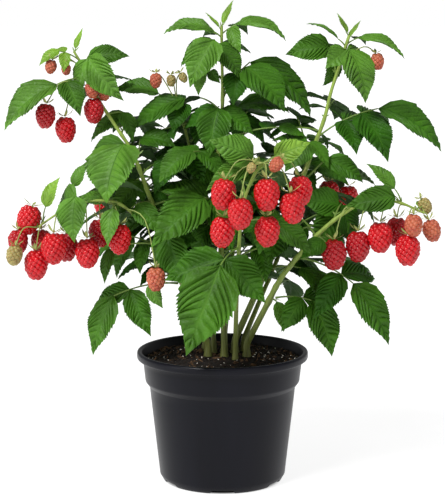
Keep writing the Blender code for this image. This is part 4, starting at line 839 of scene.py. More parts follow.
class Finish:
    # A material. Its tone, grain and gloss come from noise in the object's own coordinates.
    def __init__(self, name, colour, roughness, specular=0.5):
        self.material = bpy.data.materials.new(name)
        self.material.use_nodes = True
        self.nodes = self.material.node_tree.nodes
        self.link = self.material.node_tree.links.new
        self.shader = self.nodes["Principled BSDF"]
        self.give("Base Color", (*colour, 1.0))
        self.give("Roughness", roughness)
        self.give("Specular IOR Level", specular)

    def give(self, socket, value):
        self.shader.inputs[socket].default_value = value

    def noise(self, scale, detail=3.0, stretch=None):
        where = self.nodes.new("ShaderNodeTexCoord")
        noise = self.nodes.new("ShaderNodeTexNoise")
        noise.inputs["Scale"].default_value = scale
        noise.inputs["Detail"].default_value = detail
        if stretch:
            mapping = self.nodes.new("ShaderNodeMapping")
            mapping.inputs["Scale"].default_value = stretch
            self.link(where.outputs["Object"], mapping.inputs["Vector"])
            self.link(mapping.outputs["Vector"], noise.inputs["Vector"])
        else:
            self.link(where.outputs["Object"], noise.inputs["Vector"])
        return noise.outputs["Fac"]

    def ramp(self, value, *stops):
        # colours at places from 0 to 1, picked by a value
        ramp = self.nodes.new("ShaderNodeValToRGB")
        elements = ramp.color_ramp.elements
        for element, (place, colour) in zip(elements, (stops[0], stops[-1])):
            element.position = place
            element.color = (*colour, 1.0)
        for place, colour in stops[1:-1]:
            elements.new(place).color = (*colour, 1.0)
        self.link(value, ramp.inputs["Fac"])
        return ramp.outputs["Color"]

    def mapped(self, value, source, target):
        spread = self.nodes.new("ShaderNodeMapRange")
        labels = ("From Min", "From Max", "To Min", "To Max")
        for label, number in zip(labels, (*source, *target)):
            spread.inputs[label].default_value = number
        self.link(value, spread.inputs["Value"])
        return spread.outputs["Result"]

    def tint(self, value, darker, lighter, low=0.35, high=0.65):
        tone = self.ramp(value, (low, darker), (high, lighter))
        self.link(tone, self.shader.inputs["Base Color"])

    def bump(self, value, strength, distance):
        bump = self.nodes.new("ShaderNodeBump")
        bump.inputs["Strength"].default_value = strength
        bump.inputs["Distance"].default_value = distance
        self.link(value, bump.inputs["Height"])
        self.link(bump.outputs["Normal"], self.shader.inputs["Normal"])

    def gloss(self, value, low, high):
        roughness = self.mapped(value, (0.0, 1.0), (low, high))
        self.link(roughness, self.shader.inputs["Roughness"])


def scaled(colour, factor):
    return tuple(min(1.0, channel * factor) for channel in colour)


def softFinish(name, colour, roughness, patchScale=45.0, grainScale=900.0, grain=0.12,
               spread=0.16, specular=0.4, depth=0.4 * mm):
    # leaf, stalk and bark: soft patches of tone, and a fine grain
    made = Finish(name, colour, roughness, specular)
    patches = made.noise(patchScale)
    made.tint(patches, scaled(colour, 1 - spread), scaled(colour, 1 + spread))
    fine = made.noise(grainScale, 2.0)
    made.bump(fine, grain, depth)
    made.gloss(fine, roughness - 0.06, roughness + 0.08)
    return made.material


# base colours of the leaves' upper side, darkest first: lit and shaded copies of one green, painted shade for
# the crown's inside and painted light outside, then the paler green of young tips, which also serves as the
# brightest painted light
leafColours = {
    "leafInner": (0.025, 0.102, 0.004),
    "leafShaded": (0.038, 0.126, 0.006),
    "leafGreen": (0.048, 0.142, 0.009),
    "leafLit": (0.080, 0.205, 0.017),
    "leafYoung": (0.165, 0.315, 0.024),
}


paleVein = (0.20, 0.36, 0.06)


def veinColour(colour):
    # the veins are a little paler than the leaf round them
    return tuple(0.90 * a + 0.10 * b for a, b in zip(colour, paleVein))


def leafFinish(name, colour):
    # A crinkled leaf: the grain is that of the small veins between the side veins.
    # The brighter a leaf, the more sheen it has.
    sheen = min(0.34, 0.02 + 1.2 * colour[1])
    return softFinish(name, colour, 0.47, 42.0, 340.0, 0.9, 0.26, sheen, 1.1 * mm)


def veinFinish(name, colour):
    return softFinish(name.replace("leaf", "vein"), veinColour(colour), 0.55, specular=0.16)


leafTops = [leafFinish(name, colour) for name, colour in leafColours.items()]
leafVeins = [veinFinish(name, colour) for name, colour in leafColours.items()]
leafUnder = softFinish("leafUnder", (0.065, 0.145, 0.038), 0.7)
stalkGreen = softFinish("stalkGreen", (0.15, 0.25, 0.045), 0.5, 60.0, 700.0)
sepalGreen = softFinish("sepalGreen", (0.36, 0.40, 0.12), 0.6, 200.0, 900.0)
fruitStalkPale = softFinish("fruitStalkPale", (0.28, 0.36, 0.09), 0.5, 90.0, 700.0)


barkLook = {
    "specular": 0.45,
    "reach": 160 * mm,  # how far over the soil the colour changes
    "heights": ((0.0, (0.135, 0.150, 0.030)), (0.4, (0.190, 0.265, 0.048)), (1.0, (0.29, 0.42, 0.07))),
    "streaks": ((0.3, (0.5, 0.5, 0.45)), (0.7, (1.15, 1.12, 1.0))),
    "streakShare": 0.6,
    "streakScale": (420.0, 420.0, 26.0),
}


def caneFinish(name):
    # green shoots, darker and browner towards the soil, with fine lengthwise streaks
    made = Finish(name, (0.16, 0.24, 0.05), 0.5, barkLook["specular"])
    streaks = made.noise(1.0, 4.0, barkLook["streakScale"])
    where = made.nodes.new("ShaderNodeTexCoord")
    height = made.nodes.new("ShaderNodeSeparateXYZ")
    made.link(where.outputs["Object"], height.inputs["Vector"])
    heights = (soilShape["top"], soilShape["top"] + barkLook["reach"])
    share = made.mapped(height.outputs["Z"], heights, (0.0, 1.0))
    shade = made.nodes.new("ShaderNodeMix")
    shade.data_type = "RGBA"
    shade.blend_type = "MULTIPLY"
    shade.inputs["Factor"].default_value = barkLook["streakShare"]
    made.link(made.ramp(share, *barkLook["heights"]), shade.inputs["A"])
    made.link(made.ramp(streaks, *barkLook["streaks"]), shade.inputs["B"])
    made.link(shade.outputs["Result"], made.shader.inputs["Base Color"])
    made.bump(streaks, 0.35, 0.4 * mm)
    return made.material


def fruitFinish(name, colour, deeper, roughness=0.23):
    made = Finish(name, colour, roughness)
    made.tint(made.noise(160.0), deeper, colour, 0.3, 0.6)
    made.give("Subsurface Weight", 0.2)
    made.give("Subsurface Radius", (4 * mm, 1 * mm, 0.8 * mm))
    made.give("Subsurface Scale", 0.5)
    made.bump(made.noise(1400.0, 2.0), 0.08, 0.3 * mm)
    return made.material


fruitLooks = {  # bright and deeper colour of each stage
    "ripe": fruitFinish("berryRed", (0.58, 0.002, 0.008), (0.44, 0.002, 0.005)),
    "dark": fruitFinish("berryDeepRed", (0.45, 0.003, 0.009), (0.33, 0.002, 0.006)),
    "orange": fruitFinish("berryBlush", (0.50, 0.13, 0.060), (0.38, 0.055, 0.030), 0.45),
    "green": fruitFinish("berryGreen", (0.36, 0.29, 0.09), (0.26, 0.20, 0.06), 0.45),
}
caneBark = caneFinish("caneBark")


def potFinish(name):
    made = Finish(name, (0.003, 0.003, 0.006), 0.38, 0.17)
    flow = made.noise(1.0, 4.0, (18.0, 18.0, 3.0))
    made.tint(flow, (0.0018, 0.0020, 0.0042), (0.0042, 0.0045, 0.0088), 0.3, 0.7)
    made.bump(made.noise(900.0), 0.10, 0.3 * mm)
    made.gloss(flow, 0.30, 0.42)
    return made.material


def soilFinish(name, colour, spread=0.5, roughness=0.9):
    made = Finish(name, colour, roughness, 0.3)
    clods = made.noise(240.0, 5.0)
    made.tint(clods, scaled(colour, 1 - spread), scaled(colour, 1 + spread))
    made.bump(made.noise(1300.0, 4.0), 0.5, 0.8 * mm)
    return made.material


potPlastic = potFinish("potPlastic")
soilDark = soilFinish("soilDark", (0.007, 0.0045, 0.003))
soilCrumb = soilFinish("soilCrumb", (0.015, 0.009, 0.0055), 0.7)
barkChip = soilFinish("barkChip", (0.088, 0.048, 0.022), 0.7)
perliteWhite = soilFinish("perliteWhite", (0.74, 0.70, 0.62), 0.12, 0.8)
print("finishes made:", len(bpy.data.materials))


def drop(thing):
    # removes an object, and its mesh where no piece uses it
    mesh = thing.data
    bpy.data.objects.remove(thing)
    if not mesh.users:
        bpy.data.meshes.remove(mesh)


def evaluatedMesh(source):
    bpy.context.view_layer.update()
    graph = bpy.context.evaluated_depsgraph_get()
    mesh = bpy.data.meshes.new_from_object(source.evaluated_get(graph))
    mesh.transform(source.matrix_world)
    return mesh


def addPiece(name, mesh, nodes, sharp=None):
    # a finished piece of the plant: it stands for the solids named in nodes
    piece = bpy.data.objects.new(name, mesh)
    bpy.context.scene.collection.objects.link(piece)
    if sharp:
        mesh.set_sharp_from_angle(angle=math.radians(sharp))
    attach(piece, "root")
    if nodes:
        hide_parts(*nodes)
    mesh.calc_loop_triangles()
    print(name, len(mesh.loop_triangles), "triangles")


def addHelper(name, data):
    made = bpy.data.objects.new(name, data)
    helpers.objects.link(made)
    return made


class Sheaf:
    # many small shapes gathered into one mesh of triangles
    def __init__(self):
        self.points, self.faces, self.slots, self.count = [], [], [], 0

    def add(self, points, faces, slots):
        self.points.append(points)
        self.faces.append(faces + self.count)
        self.slots.append(np.broadcast_to(np.asarray(slots, np.int32), len(faces)))
        self.count += len(points)

    def mesh(self, name, materials):
        points = np.concatenate(self.points).astype(np.float32)
        faces = np.concatenate(self.faces).astype(np.int32)
        slots = np.concatenate(self.slots).astype(np.int32)
        mesh = bpy.data.meshes.new(name)
        mesh.vertices.add(len(points))
        mesh.vertices.foreach_set("co", points.ravel())
        mesh.loops.add(faces.size)
        mesh.loops.foreach_set("vertex_index", faces.ravel())
        mesh.polygons.add(len(faces))
        mesh.polygons.foreach_set("loop_start", np.arange(0, faces.size, 3, dtype=np.int32))
        for finish in materials:
            mesh.materials.append(finish)
        mesh.polygons.foreach_set("material_index", slots)
        mesh.polygons.foreach_set("use_smooth", np.ones(len(faces), bool))
        mesh.update(calc_edges=True)
        return mesh


def asArray(points):
    return np.array([tuple(point) for point in points])


def ringTriangles(rings, sides, first=0, turned=False):
    # two triangles for each place between rings of points; turned ones face the other way
    faces = []
    for quad in ringQuads(rings, sides):
        a, b, c, d = (corner + first for corner in quad)
        faces += [(a, d, c), (a, c, b)] if turned else [(a, b, c), (a, c, d)]
    return faces


def tubeArrays(points, radii, sides):
    # a closed round tube along a line, its rings turned as little as possible
    count = len(points)
    verts = []
    one = None
    for i, point in enumerate(points):
        ahead = (points[min(i + 1, count - 1)] - points[max(i - 1, 0)]).normalized()
        one = squareTo(one, ahead) if one else ahead.orthogonal().normalized()
        two = ahead.cross(one)
        for k in range(sides):
            turned = 2 * math.pi * k / sides
            verts.append(point + (one * math.cos(turned) + two * math.sin(turned)) * radii[i])
    faces = ringTriangles(count, sides)
    last = sides * (count - 1)
    verts += [points[0], points[-1]]
    for k in range(sides):
        a, b = k, (k + 1) % sides
        faces += [(b, a, len(verts) - 2), (last + a, last + b, len(verts) - 1)]
    return asArray(verts), np.array(faces)


leafRelief = {
    "pleat": 0.022,  # height of the folds between side veins, over the length
    "tooth": 0.075,  # depth of the teeth, over the half width
    "toothRun": 0.012,  # and how far they point forward, over the length
    "sweep": 0.44,  # how far a side vein runs forward on its way to the edge, over the length
    "bow": 1.2,  # how much it bends on its way
    "veinShare": 0.035,  # half a vein strip, over the distance between veins
    "firstVein": 0.045,  # where on the midrib the first vein starts
    "veinSpan": 0.86,  # and the share of the midrib that has veins
    "lastRow": 0.935,
    "tipFrom": 0.7,  # the tip is drawn out from here, by this much
    "tipSlim": 0.15,
    # rows before the first vein: share of the way to it, tooth, ridge
    "rootRows": ((0.22, 0.0, 0.3), (0.46, 0.6, -0.5), (0.56, -0.5, 0.4), (0.84, 0.5, 0.7), (0.92, -0.6, 0.2)),
    "valley": -0.9,  # ridge at a side vein, and how much it rises between two
    "rise": 1.9,
    "thickness": 0.32 * mm,
    "fold": (0.02, 0.24),  # how far the two halves lift
    "twist": 0.22,
    "wave": 0.020,
    "waves": (1.2, 2.4),
}
# Rows between two side veins, as place and tooth, and columns from the midrib to the edge, as place and lift.
bladeKinds = {
    "large": {
        "veins": 8,
        "between": ((0.16, -0.9), (0.50, 0.7), (0.64, -0.5)),
        "columns": ((0.0, 0.0), (0.025, -0.15), (0.2, 0.8), (0.42, 1.0), (0.64, 1.0), (0.84, 0.8),
                    (1.0, 0.3)),
    },
    "middle": {
        "veins": 6,
        "between": ((0.2, -0.8), (0.75, 0.4)),
        "columns": ((0.0, 0.0), (0.03, -0.1), (0.4, 0.9), (0.75, 1.0), (1.0, 0.3)),
    },
    "small": {
        "veins": 5,
        "between": ((0.2, -0.8), (0.75, 0.4)),
        "columns": ((0.0, 0.0), (0.04, -0.1), (0.4, 0.9), (0.75, 1.0), (1.0, 0.3)),
    },
}


def outlineAt(share):
    # half the leaflet's width, over its widest: the tip is drawn out more than the solid's
    past = (share - leafRelief["tipFrom"]) / 0.3
    return halfWidth(share) * (1 - leafRelief["tipSlim"] * math.sin(math.pi * min(1.0, max(0.0, past))))


def edgeOf(start):
    # where on the edge a side vein ends that leaves the midrib at start
    end = start
    for _ in range(12):
        end = start + leafRelief["sweep"] * outlineAt(min(end, 1.0))
    return min(end, 1.0)


def bladeRows(veins, between):
    # each row: start on the midrib, end on the edge, tooth, ridge, whether a vein
    thin, firstVein = leafRelief["veinShare"], leafRelief["firstVein"]
    first, step = edgeOf(firstVein), leafRelief["veinSpan"] / veins
    rows = [(0.0, 0.0, 0.0, 0.0, 0)]
    rows += [(0.0, first * share, tooth, ridge, 0) for share, tooth, ridge in leafRelief["rootRows"]]
    for k in range(veins):
        strips = [(-thin, 1.0, 1), (thin, 0.9, 0)] + [(offset, tooth, 0) for offset, tooth in between]
        for offset, tooth, vein in strips:
            on = firstVein + step * k + step * offset
            swell = math.sin(math.pi * max(0.0, offset - thin) / (1 - 2 * thin)) ** 0.5
            ridge = leafRelief["valley"] + leafRelief["rise"] * swell
            rows.append((on, edgeOf(on), tooth, ridge, vein))
    last = leafRelief["lastRow"]
    return rows + [(last, edgeOf(last), 0.3, -0.2, 0), (0.97, 0.975, 0.0, 0.0, 0), (1.0, 1.0, 0.0, 0.0, 0)]


def bladePattern(veins, between, columns):
    # The flat pattern of a leaflet. Its rows follow the side veins from the midrib to the edge; both
    # faces share the edge, so the leaflet is closed. Slots: upper side, under side, midrib, veins.
    rows = bladeRows(veins, between)
    index, shares, across, ridges, layers = {}, [], [], [], []

    def corner(i, j, half, layer):
        start, end, tooth, ridge, _ = rows[i]
        v, lift = columns[j]
        share = start + (end - start) * v ** leafRelief["bow"]
        edge = v == 1.0
        if edge and 0.0 < end < 1.0:
            share = min(0.999, share + leafRelief["toothRun"] * tooth)
        wide = half * v * outlineAt(min(share, 1.0)) * (1 + leafRelief["tooth"] * tooth * edge)
        if edge or share >= 1.0 or share <= 0.0:
            layer = 0
        key = (round(share, 6), round(wide, 6), layer)
        if key not in index:
            index[key] = len(shares)
            shares.append(share)
            across.append(wide)
            ridges.append(ridge * lift)
            layers.append(layer)
        return index[key]

    faces, slots = [], []
    for i in range(len(rows) - 1):
        for j in range(len(columns) - 1):
            strip = 2 if j == 0 else 3 if rows[i][4] else 0
            for half in (1, -1):
                for layer in (1, -1):
                    ring = [corner(i, j, half, layer), corner(i, j + 1, half, layer),
                            corner(i + 1, j + 1, half, layer), corner(i + 1, j, half, layer)]
                    for a, b, c in ((0, 1, 2), (0, 2, 3)):
                        three = (ring[a], ring[b], ring[c])
                        if half * layer < 0:
                            three = (ring[a], ring[c], ring[b])
                        if len(set(three)) == 3:
                            faces.append(three)
                            slots.append(strip if layer > 0 else 1)
    return dict(share=np.array(shares), across=np.array(across), ridge=np.array(ridges),
                layer=np.array(layers), faces=np.array(faces), slots=np.array(slots))


bladePatterns = {size: bladePattern(**kind) for size, kind in bladeKinds.items()}
print("leaflet patterns:", [len(pattern["faces"]) for pattern in bladePatterns.values()])


def bladePoints(blade, pattern, chance):
    # lays the flat pattern on a leaflet's bent midrib
    arc = blade["arc"]
    share, across = pattern["share"], pattern["across"] * blade["width"]
    start, ahead, face = (np.array(tuple(v)) for v in (arc.start, arc.ahead, arc.face))
    side = np.cross(ahead, face)
    turned = arc.bend * share
    sine, cosine = np.sin(turned)[:, None], np.cos(turned)[:, None]
    spine = start + arc.length / arc.bend * (ahead * sine - face * (1 - cosine))
    up = face * cosine + ahead * sine
    fold = chance.uniform(*leafRelief["fold"])
    twist = chance.uniform(-1, 1) * leafRelief["twist"]
    phase = chance.uniform(0, 2 * math.pi)
    waves = chance.uniform(*leafRelief["waves"])
    edge = (np.abs(across) / blade["width"]) ** 2
    ripple = np.sin(2 * math.pi * waves * share + phase)
    height = blade["length"] * leafRelief["pleat"] * pattern["ridge"]
    height = height + fold * np.abs(across) + across * np.sin(twist * share)
    height = height + blade["length"] * leafRelief["wave"] * edge * ripple
    height = height + pattern["layer"] * leafRelief["thickness"] / 2
    return spine + side * across[:, None] + up * height[:, None]


# Tints run from 0, the darkest, to 4, from painted shade to painted light. Lengths are in mm.
leafChoice = {
    "light": 0.2,  # of a leaf at height and above the middle of the pot
    "height": 240,
    "heightStep": 130,  # each of these adds one tint: upwards, outwards, to the front
    "outStep": 140,
    "frontStep": 140,
    "inner": 1.6,  # painted shade: how much darker the extra leaves inside the crown are, and side leaflets
    "side": 0.6,
    "spray": (-0.5, 0.5),  # how much leaves differ, and the leaflets of one leaf
    "leaflet": (-0.45, 0.45),
    "youngLength": 32,  # shorter leaflets near a tip are young ones
    "youngFrom": 0.9,
    # share of midribs that take the next darker green as painted shade in their groove; the others take the
    # paler vein green
    "paintedShadeMidribs": 0.6,
    "largeFrom": 46,
    "middleFrom": 30,
}
# one piece for each part of the crown, so that none is too heavy
leafPieces = {
    "leavesLeft": ("cane_left", "bough_left", "cane_left_centre"),
    "leavesRight": ("cane_right", "cane_right_front"),
    "leavesMiddle": ("cane_centre", "cane_front"),
    "leavesBack": ("cane_back", "cane_back_left", "cane_back_right"),
}


def lightOn(blade, inner):
    # how much light a leaflet gets, painted into its green: the front, the top and the outside are brighter
    place = blade["arc"].point(0.5) / mm
    out = math.hypot(place.x, place.y)
    light = leafChoice["light"] + (place.z - leafChoice["height"]) / leafChoice["heightStep"]
    light += out / leafChoice["outStep"]
    light -= place.y / leafChoice["frontStep"]
    # the extra leaves inside the crown get painted shade
    return light - leafChoice["inner"] if inner else light


def patternFor(length, inner):
    if length > leafChoice["largeFrom"] and not inner:
        return bladePatterns["large"]
    return bladePatterns["middle" if length > leafChoice["middleFrom"] else "small"]


def makeLeaves():
    finishes = [*leafTops, leafUnder, *leafVeins]
    under = len(leafTops)
    chance = random.Random(77)
    for piece, names in leafPieces.items():
        sheaf = Sheaf()
        chosen = [(grown, mass["limb"], False) for mass in masses.values() for grown in mass["leaves"]]
        chosen += [(grown, grown["limb"], True) for grown in fillLeaves]
        for grown, limbName, inner in chosen:
            if limbName not in names:
                continue
            spray = chance.uniform(*leafChoice["spray"])
            longest = max(blade["length"] for blade in grown["blades"])
            for blade in grown["blades"]:
                length = blade["length"] / mm
                light = lightOn(blade, inner) + spray if grown["tone"] is None else grown["tone"]
                # side leaflets get painted shade, a step darker than the largest leaflet
                light -= leafChoice["side"] * (blade["length"] < longest)
                light += chance.uniform(*leafChoice["leaflet"])
                tint = int(min(4, max(0, round(light))))
                young = length < leafChoice["youngLength"] and grown["at"] > leafChoice["youngFrom"]
                if young and not inner:
                    tint = 4
                # side veins, and most midribs, take the next darker green: painted shade in their grooves
                darker = max(0, tint - 1)
                midrib = darker if chance.random() < leafChoice["paintedShadeMidribs"] else under + 1 + tint
                pattern = patternFor(length, inner)
                slots = np.choose(pattern["slots"], [tint, under, midrib, darker])
                sheaf.add(bladePoints(blade, pattern, chance), pattern["faces"], slots)
        nodes = [name for name, mass in masses.items() if mass["limb"] in names]
        addPiece(piece, sheaf.mesh(piece, finishes), nodes, sharp=75)


makeLeaves()


# leaf stalks, with two small bracts at the foot of each
stalkHabit = {
    "rings": 9,
    "sides": 6,
    "longFrom": 24 * mm,  # shorter stalks are thinner
    "thin": 0.8,
    "foot": 1.35,  # the foot's thickness, over the stalk's
    "taper": 0.32,
    "bract": 8 * mm,
    "bractWidth": 0.9 * mm,
    "bractAt": 0.12,
    "bractBend": 0.5,
    "bractLean": (0.75, 0.6, 0.2),  # ahead, to the side and upwards
}


def smallLeaf(shares):
    # A bract or sepal: a lens of few faces, pointed at both ends, with no teeth.
    # Each ring is the right edge, the ridge, the left edge and the back.
    inner = shares[1:-1]
    share = [at for at in inner for _ in range(4)] + [shares[0], shares[-1]]
    across = []
    for at in inner:
        wide = math.sin(math.pi * at) ** 0.8
        across += [wide, 0.0, -wide, 0.0]
    across += [0.0, 0.0]
    layer = [0, 1, 0, -1] * len(inner) + [0, 0]
    foot, tip = len(share) - 2, len(share) - 1
    last = 4 * len(inner) - 4
    faces = []
    for k in range(4):
        a, b = k, (k + 1) % 4
        faces.append((foot, a, b))
        for i in range(0, last, 4):
            faces += [(i + a, i + 4 + a, i + 4 + b), (i + a, i + 4 + b, i + b)]
        faces.append((last + a, tip, last + b))
    return dict(share=np.array(share), across=np.array(across), ridge=np.zeros(len(share)),
                layer=np.array(layer), faces=np.array(faces))


bractPattern = smallLeaf((0.0, 0.12, 0.32, 0.56, 0.8, 1.0))


def addBract(sheaf, arc, width, chance):
    blade = dict(arc=arc, length=arc.length, width=width)
    sheaf.add(bladePoints(blade, bractPattern, chance), bractPattern["faces"], 0)


def makeStalks():
    sheaf = Sheaf()
    chance = random.Random(31)
    last = stalkHabit["rings"] - 1
    forward, sideways, upwards = stalkHabit["bractLean"]
    chosen = [grown for mass in masses.values() for grown in mass["leaves"]] + fillLeaves
    for grown in chosen:
        stalk = grown["stalk"]
        points = [stalk.point(i / last) for i in range(last + 1)]
        long = stalk.length > stalkHabit["longFrom"]
        radius = leafShape["stalkRadius"] * (1.0 if long else stalkHabit["thin"])
        radii = [radius * (1.0 - stalkHabit["taper"] * i / last) for i in range(last + 1)]
        radii[0] = radius * stalkHabit["foot"]
        sheaf.add(*tubeArrays(points, radii, stalkHabit["sides"]), 0)
        foot = stalk.point(stalkHabit["bractAt"])
        ahead, face, side = stalk.axes(stalkHabit["bractAt"])
        for way in (1, -1):
            leaning = (ahead * forward + side * way * sideways + face * upwards).normalized()
            arc = Arc(foot, leaning, face, stalkHabit["bract"], stalkHabit["bractBend"])
            addBract(sheaf, arc, stalkHabit["bractWidth"], chance)
    addPiece("leafStalks", sheaf.mesh("leafStalks", [stalkGreen]), [], sharp=60)


makeStalks()


def newTree(name, sockets):
    # a Geometry Nodes tree with named inputs
    tree = bpy.data.node_groups.new(name, "GeometryNodeTree")
    tree.interface.new_socket("Geometry", in_out="INPUT", socket_type="NodeSocketGeometry")
    for label, kind in sockets:
        tree.interface.new_socket(label, in_out="INPUT", socket_type="NodeSocket" + kind)
    tree.interface.new_socket("Geometry", in_out="OUTPUT", socket_type="NodeSocketGeometry")
    return tree, tree.nodes.new("NodeGroupInput"), tree.nodes.new("NodeGroupOutput")


def endTree(tree, last, start, end):
    # plain geometry with its finish, because the export drops instances
    realize = tree.nodes.new("GeometryNodeRealizeInstances")
    finish = tree.nodes.new("GeometryNodeSetMaterial")
    tree.links.new(last, realize.inputs["Geometry"])
    tree.links.new(realize.outputs["Geometry"], finish.inputs["Geometry"])
    tree.links.new(start.outputs["Finish"], finish.inputs["Material"])
    tree.links.new(finish.outputs["Geometry"], end.inputs["Geometry"])


def scatterTree():
    # strews one shape over a surface, upright on it, turned and sized at random
    tree, start, end = newTree("strew", [
        ("Shape", "Object"), ("Density", "Float"), ("Smallest", "Float"), ("Largest", "Float"),
        ("Lean", "Float"), ("Seed", "Int"), ("Finish", "Material")])
    spots = tree.nodes.new("GeometryNodeDistributePointsOnFaces")
    shape = tree.nodes.new("GeometryNodeObjectInfo")
    size = tree.nodes.new("FunctionNodeRandomValue")
    turn = tree.nodes.new("FunctionNodeRandomValue")
    turn.data_type = "FLOAT_VECTOR"
    lean = tree.nodes.new("ShaderNodeCombineXYZ")
    leanBack = tree.nodes.new("ShaderNodeCombineXYZ")
    minus = tree.nodes.new("ShaderNodeMath")
    minus.operation = "MULTIPLY"
    minus.inputs[1].default_value = -1.0
    lean.inputs["Z"].default_value = math.pi
    leanBack.inputs["Z"].default_value = -math.pi
    put = tree.nodes.new("GeometryNodeInstanceOnPoints")
    rotate = tree.nodes.new("GeometryNodeRotateInstances")
    link = tree.links.new
    link(start.outputs["Geometry"], spots.inputs["Mesh"])
    link(start.outputs["Density"], spots.inputs["Density"])
    link(start.outputs["Seed"], spots.inputs["Seed"])
    link(start.outputs["Shape"], shape.inputs["Object"])
    link(start.outputs["Smallest"], size.inputs[2])
    link(start.outputs["Largest"], size.inputs[3])
    link(start.outputs["Seed"], size.inputs["Seed"])
    link(start.outputs["Lean"], lean.inputs["X"])
    link(start.outputs["Lean"], lean.inputs["Y"])
    link(start.outputs["Lean"], minus.inputs[0])
    link(minus.outputs[0], leanBack.inputs["X"])
    link(minus.outputs[0], leanBack.inputs["Y"])
    link(leanBack.outputs["Vector"], turn.inputs[0])
    link(lean.outputs["Vector"], turn.inputs[1])
    link(start.outputs["Seed"], turn.inputs["Seed"])
    link(spots.outputs["Points"], put.inputs["Points"])
    link(shape.outputs["Geometry"], put.inputs["Instance"])
    link(spots.outputs["Rotation"], put.inputs["Rotation"])
    link(size.outputs[1], put.inputs["Scale"])
    link(put.outputs["Instances"], rotate.inputs["Instances"])
    link(turn.outputs[0], rotate.inputs["Rotation"])
    endTree(tree, rotate.outputs["Instances"], start, end)
    return tree


def swellTree():
    # sets one drupelet on each point, facing outwards
    tree, start, end = newTree("setDrupelets", [
        ("Shape", "Object"), ("Swell", "Float"), ("Finish", "Material")])
    shape = tree.nodes.new("GeometryNodeObjectInfo")
    outward = tree.nodes.new("GeometryNodeInputNamedAttribute")
    outward.data_type = "FLOAT_VECTOR"
    outward.inputs["Name"].default_value = "outward"
    size = tree.nodes.new("GeometryNodeInputNamedAttribute")
    size.inputs["Name"].default_value = "size"
    align = tree.nodes.new("FunctionNodeAlignRotationToVector")
    align.axis = "Z"
    swell = tree.nodes.new("ShaderNodeMath")
    swell.operation = "MULTIPLY"
    put = tree.nodes.new("GeometryNodeInstanceOnPoints")
    link = tree.links.new
    link(start.outputs["Geometry"], put.inputs["Points"])
    link(start.outputs["Shape"], shape.inputs["Object"])
    link(shape.outputs["Geometry"], put.inputs["Instance"])
    link(outward.outputs["Attribute"], align.inputs["Vector"])
    link(align.outputs["Rotation"], put.inputs["Rotation"])
    link(size.outputs["Attribute"], swell.inputs[0])
    link(start.outputs["Swell"], swell.inputs[1])
    link(swell.outputs[0], put.inputs["Scale"])
    endTree(tree, put.outputs["Instances"], start, end)
    return tree


def grownFrom(source, tree, values):
    # runs a tree on a mesh object and gives back the plain mesh
    modifier = source.modifiers.new("grow", "NODES")
    modifier.node_group = tree
    for item in tree.interface.items_tree:
        if item.in_out == "INPUT" and item.name in values:
            modifier[item.identifier] = values[item.name]
    mesh = evaluatedMesh(source)
    source.modifiers.remove(modifier)
    return mesh


strew = scatterTree()
setDrupelets = swellTree()


def strewOn(source, shape, density, sizes, lean, seed, finish):
    # density is per square metre, and sizes are the smallest and the largest in mm
    smallest, largest = sizes
    return grownFrom(source, strew, {
        "Shape": shape, "Density": density, "Smallest": smallest * mm, "Largest": largest * mm,
        "Lean": lean, "Seed": seed, "Finish": finish})


def unitShape(name, kind, **sizes):
    # a shape about 1 across: a thin cone, a clod or a drupelet's dome
    shape = bmesh.new()
    if kind == "cone":
        bmesh.ops.create_cone(shape, cap_ends=True, segments=sizes["sides"], radius1=sizes["foot"],
                              radius2=0.0, depth=1.0)
        bmesh.ops.translate(shape, verts=shape.verts, vec=(0, 0, 0.45))
    elif kind == "clod":
        bmesh.ops.create_icosphere(shape, subdivisions=1, radius=0.5)
        chance = random.Random(sizes["seed"])
        for vertex in shape.verts:
            vertex.co *= chance.uniform(0.7, 1.2)
            vertex.co = Vector((vertex.co.x * sizes["long"], vertex.co.y, vertex.co.z * sizes["high"]))
    elif kind == "dome":
        bmesh.ops.create_uvsphere(shape, u_segments=8, v_segments=6, radius=0.5)
        low = [vertex for vertex in shape.verts if vertex.co.z < -0.1]
        bmesh.ops.delete(shape, geom=low, context="VERTS")
        rim = [vertex for vertex in shape.verts if vertex.is_boundary]
        shape.faces.new(sorted(rim, key=lambda vertex: math.atan2(vertex.co.y, vertex.co.x)))
    bmesh.ops.recalc_face_normals(shape, faces=shape.faces)
    mesh = bpy.data.meshes.new(name)
    shape.to_mesh(mesh)
    shape.free()
    for polygon in mesh.polygons:
        polygon.use_smooth = kind == "dome"
    return addHelper(name, mesh)


# canes and boughs
barkHabit = {
    "sides": 14,
    "ring": 5 * mm,
    "nodeSwell": 0.22,  # how much thicker a cane is where a leaf springs
    "mostSwell": 1.2,
    "nodeLength": 3.2 * mm,
    "bristles": 9000.0,
    "bristle": (0.65, 1.3),  # mm
    "bristleLean": 0.3,
}


def makeCanes():
    sheaf = Sheaf()
    for name, limb in limbs.items():
        fine = Limb(smoothLine(limb.line, 6), 1.0, 1.0, False)
        count = max(8, round(limb.length / barkHabit["ring"]))
        joints = [habit["at"] for habit in limbTable[name]["leaves"]]
        points, radii = [], []
        for i in range(count + 1):
            share = i / count
            away = [(share - at) * limb.length / barkHabit["nodeLength"] for at in joints]
            swell = min(barkHabit["mostSwell"], sum(math.exp(-(far ** 2)) for far in away))
            points.append(fine.point(share))
            radii.append(limb.radius(share) * (1 + barkHabit["nodeSwell"] * swell))
        sheaf.add(*tubeArrays(points, radii, barkHabit["sides"]), 0)
    mesh = sheaf.mesh("canes", [caneBark])
    source = addHelper("caneSource", mesh)
    thorn = unitShape("bristle", "cone", sides=4, foot=0.16)
    bristles = strewOn(source, thorn, barkHabit["bristles"], barkHabit["bristle"],
                       barkHabit["bristleLean"], 5, stalkGreen)
    addPiece("canes", mesh, list(limbs), sharp=60)
    addPiece("caneBristles", bristles, [])
    drop(source)


makeCanes()


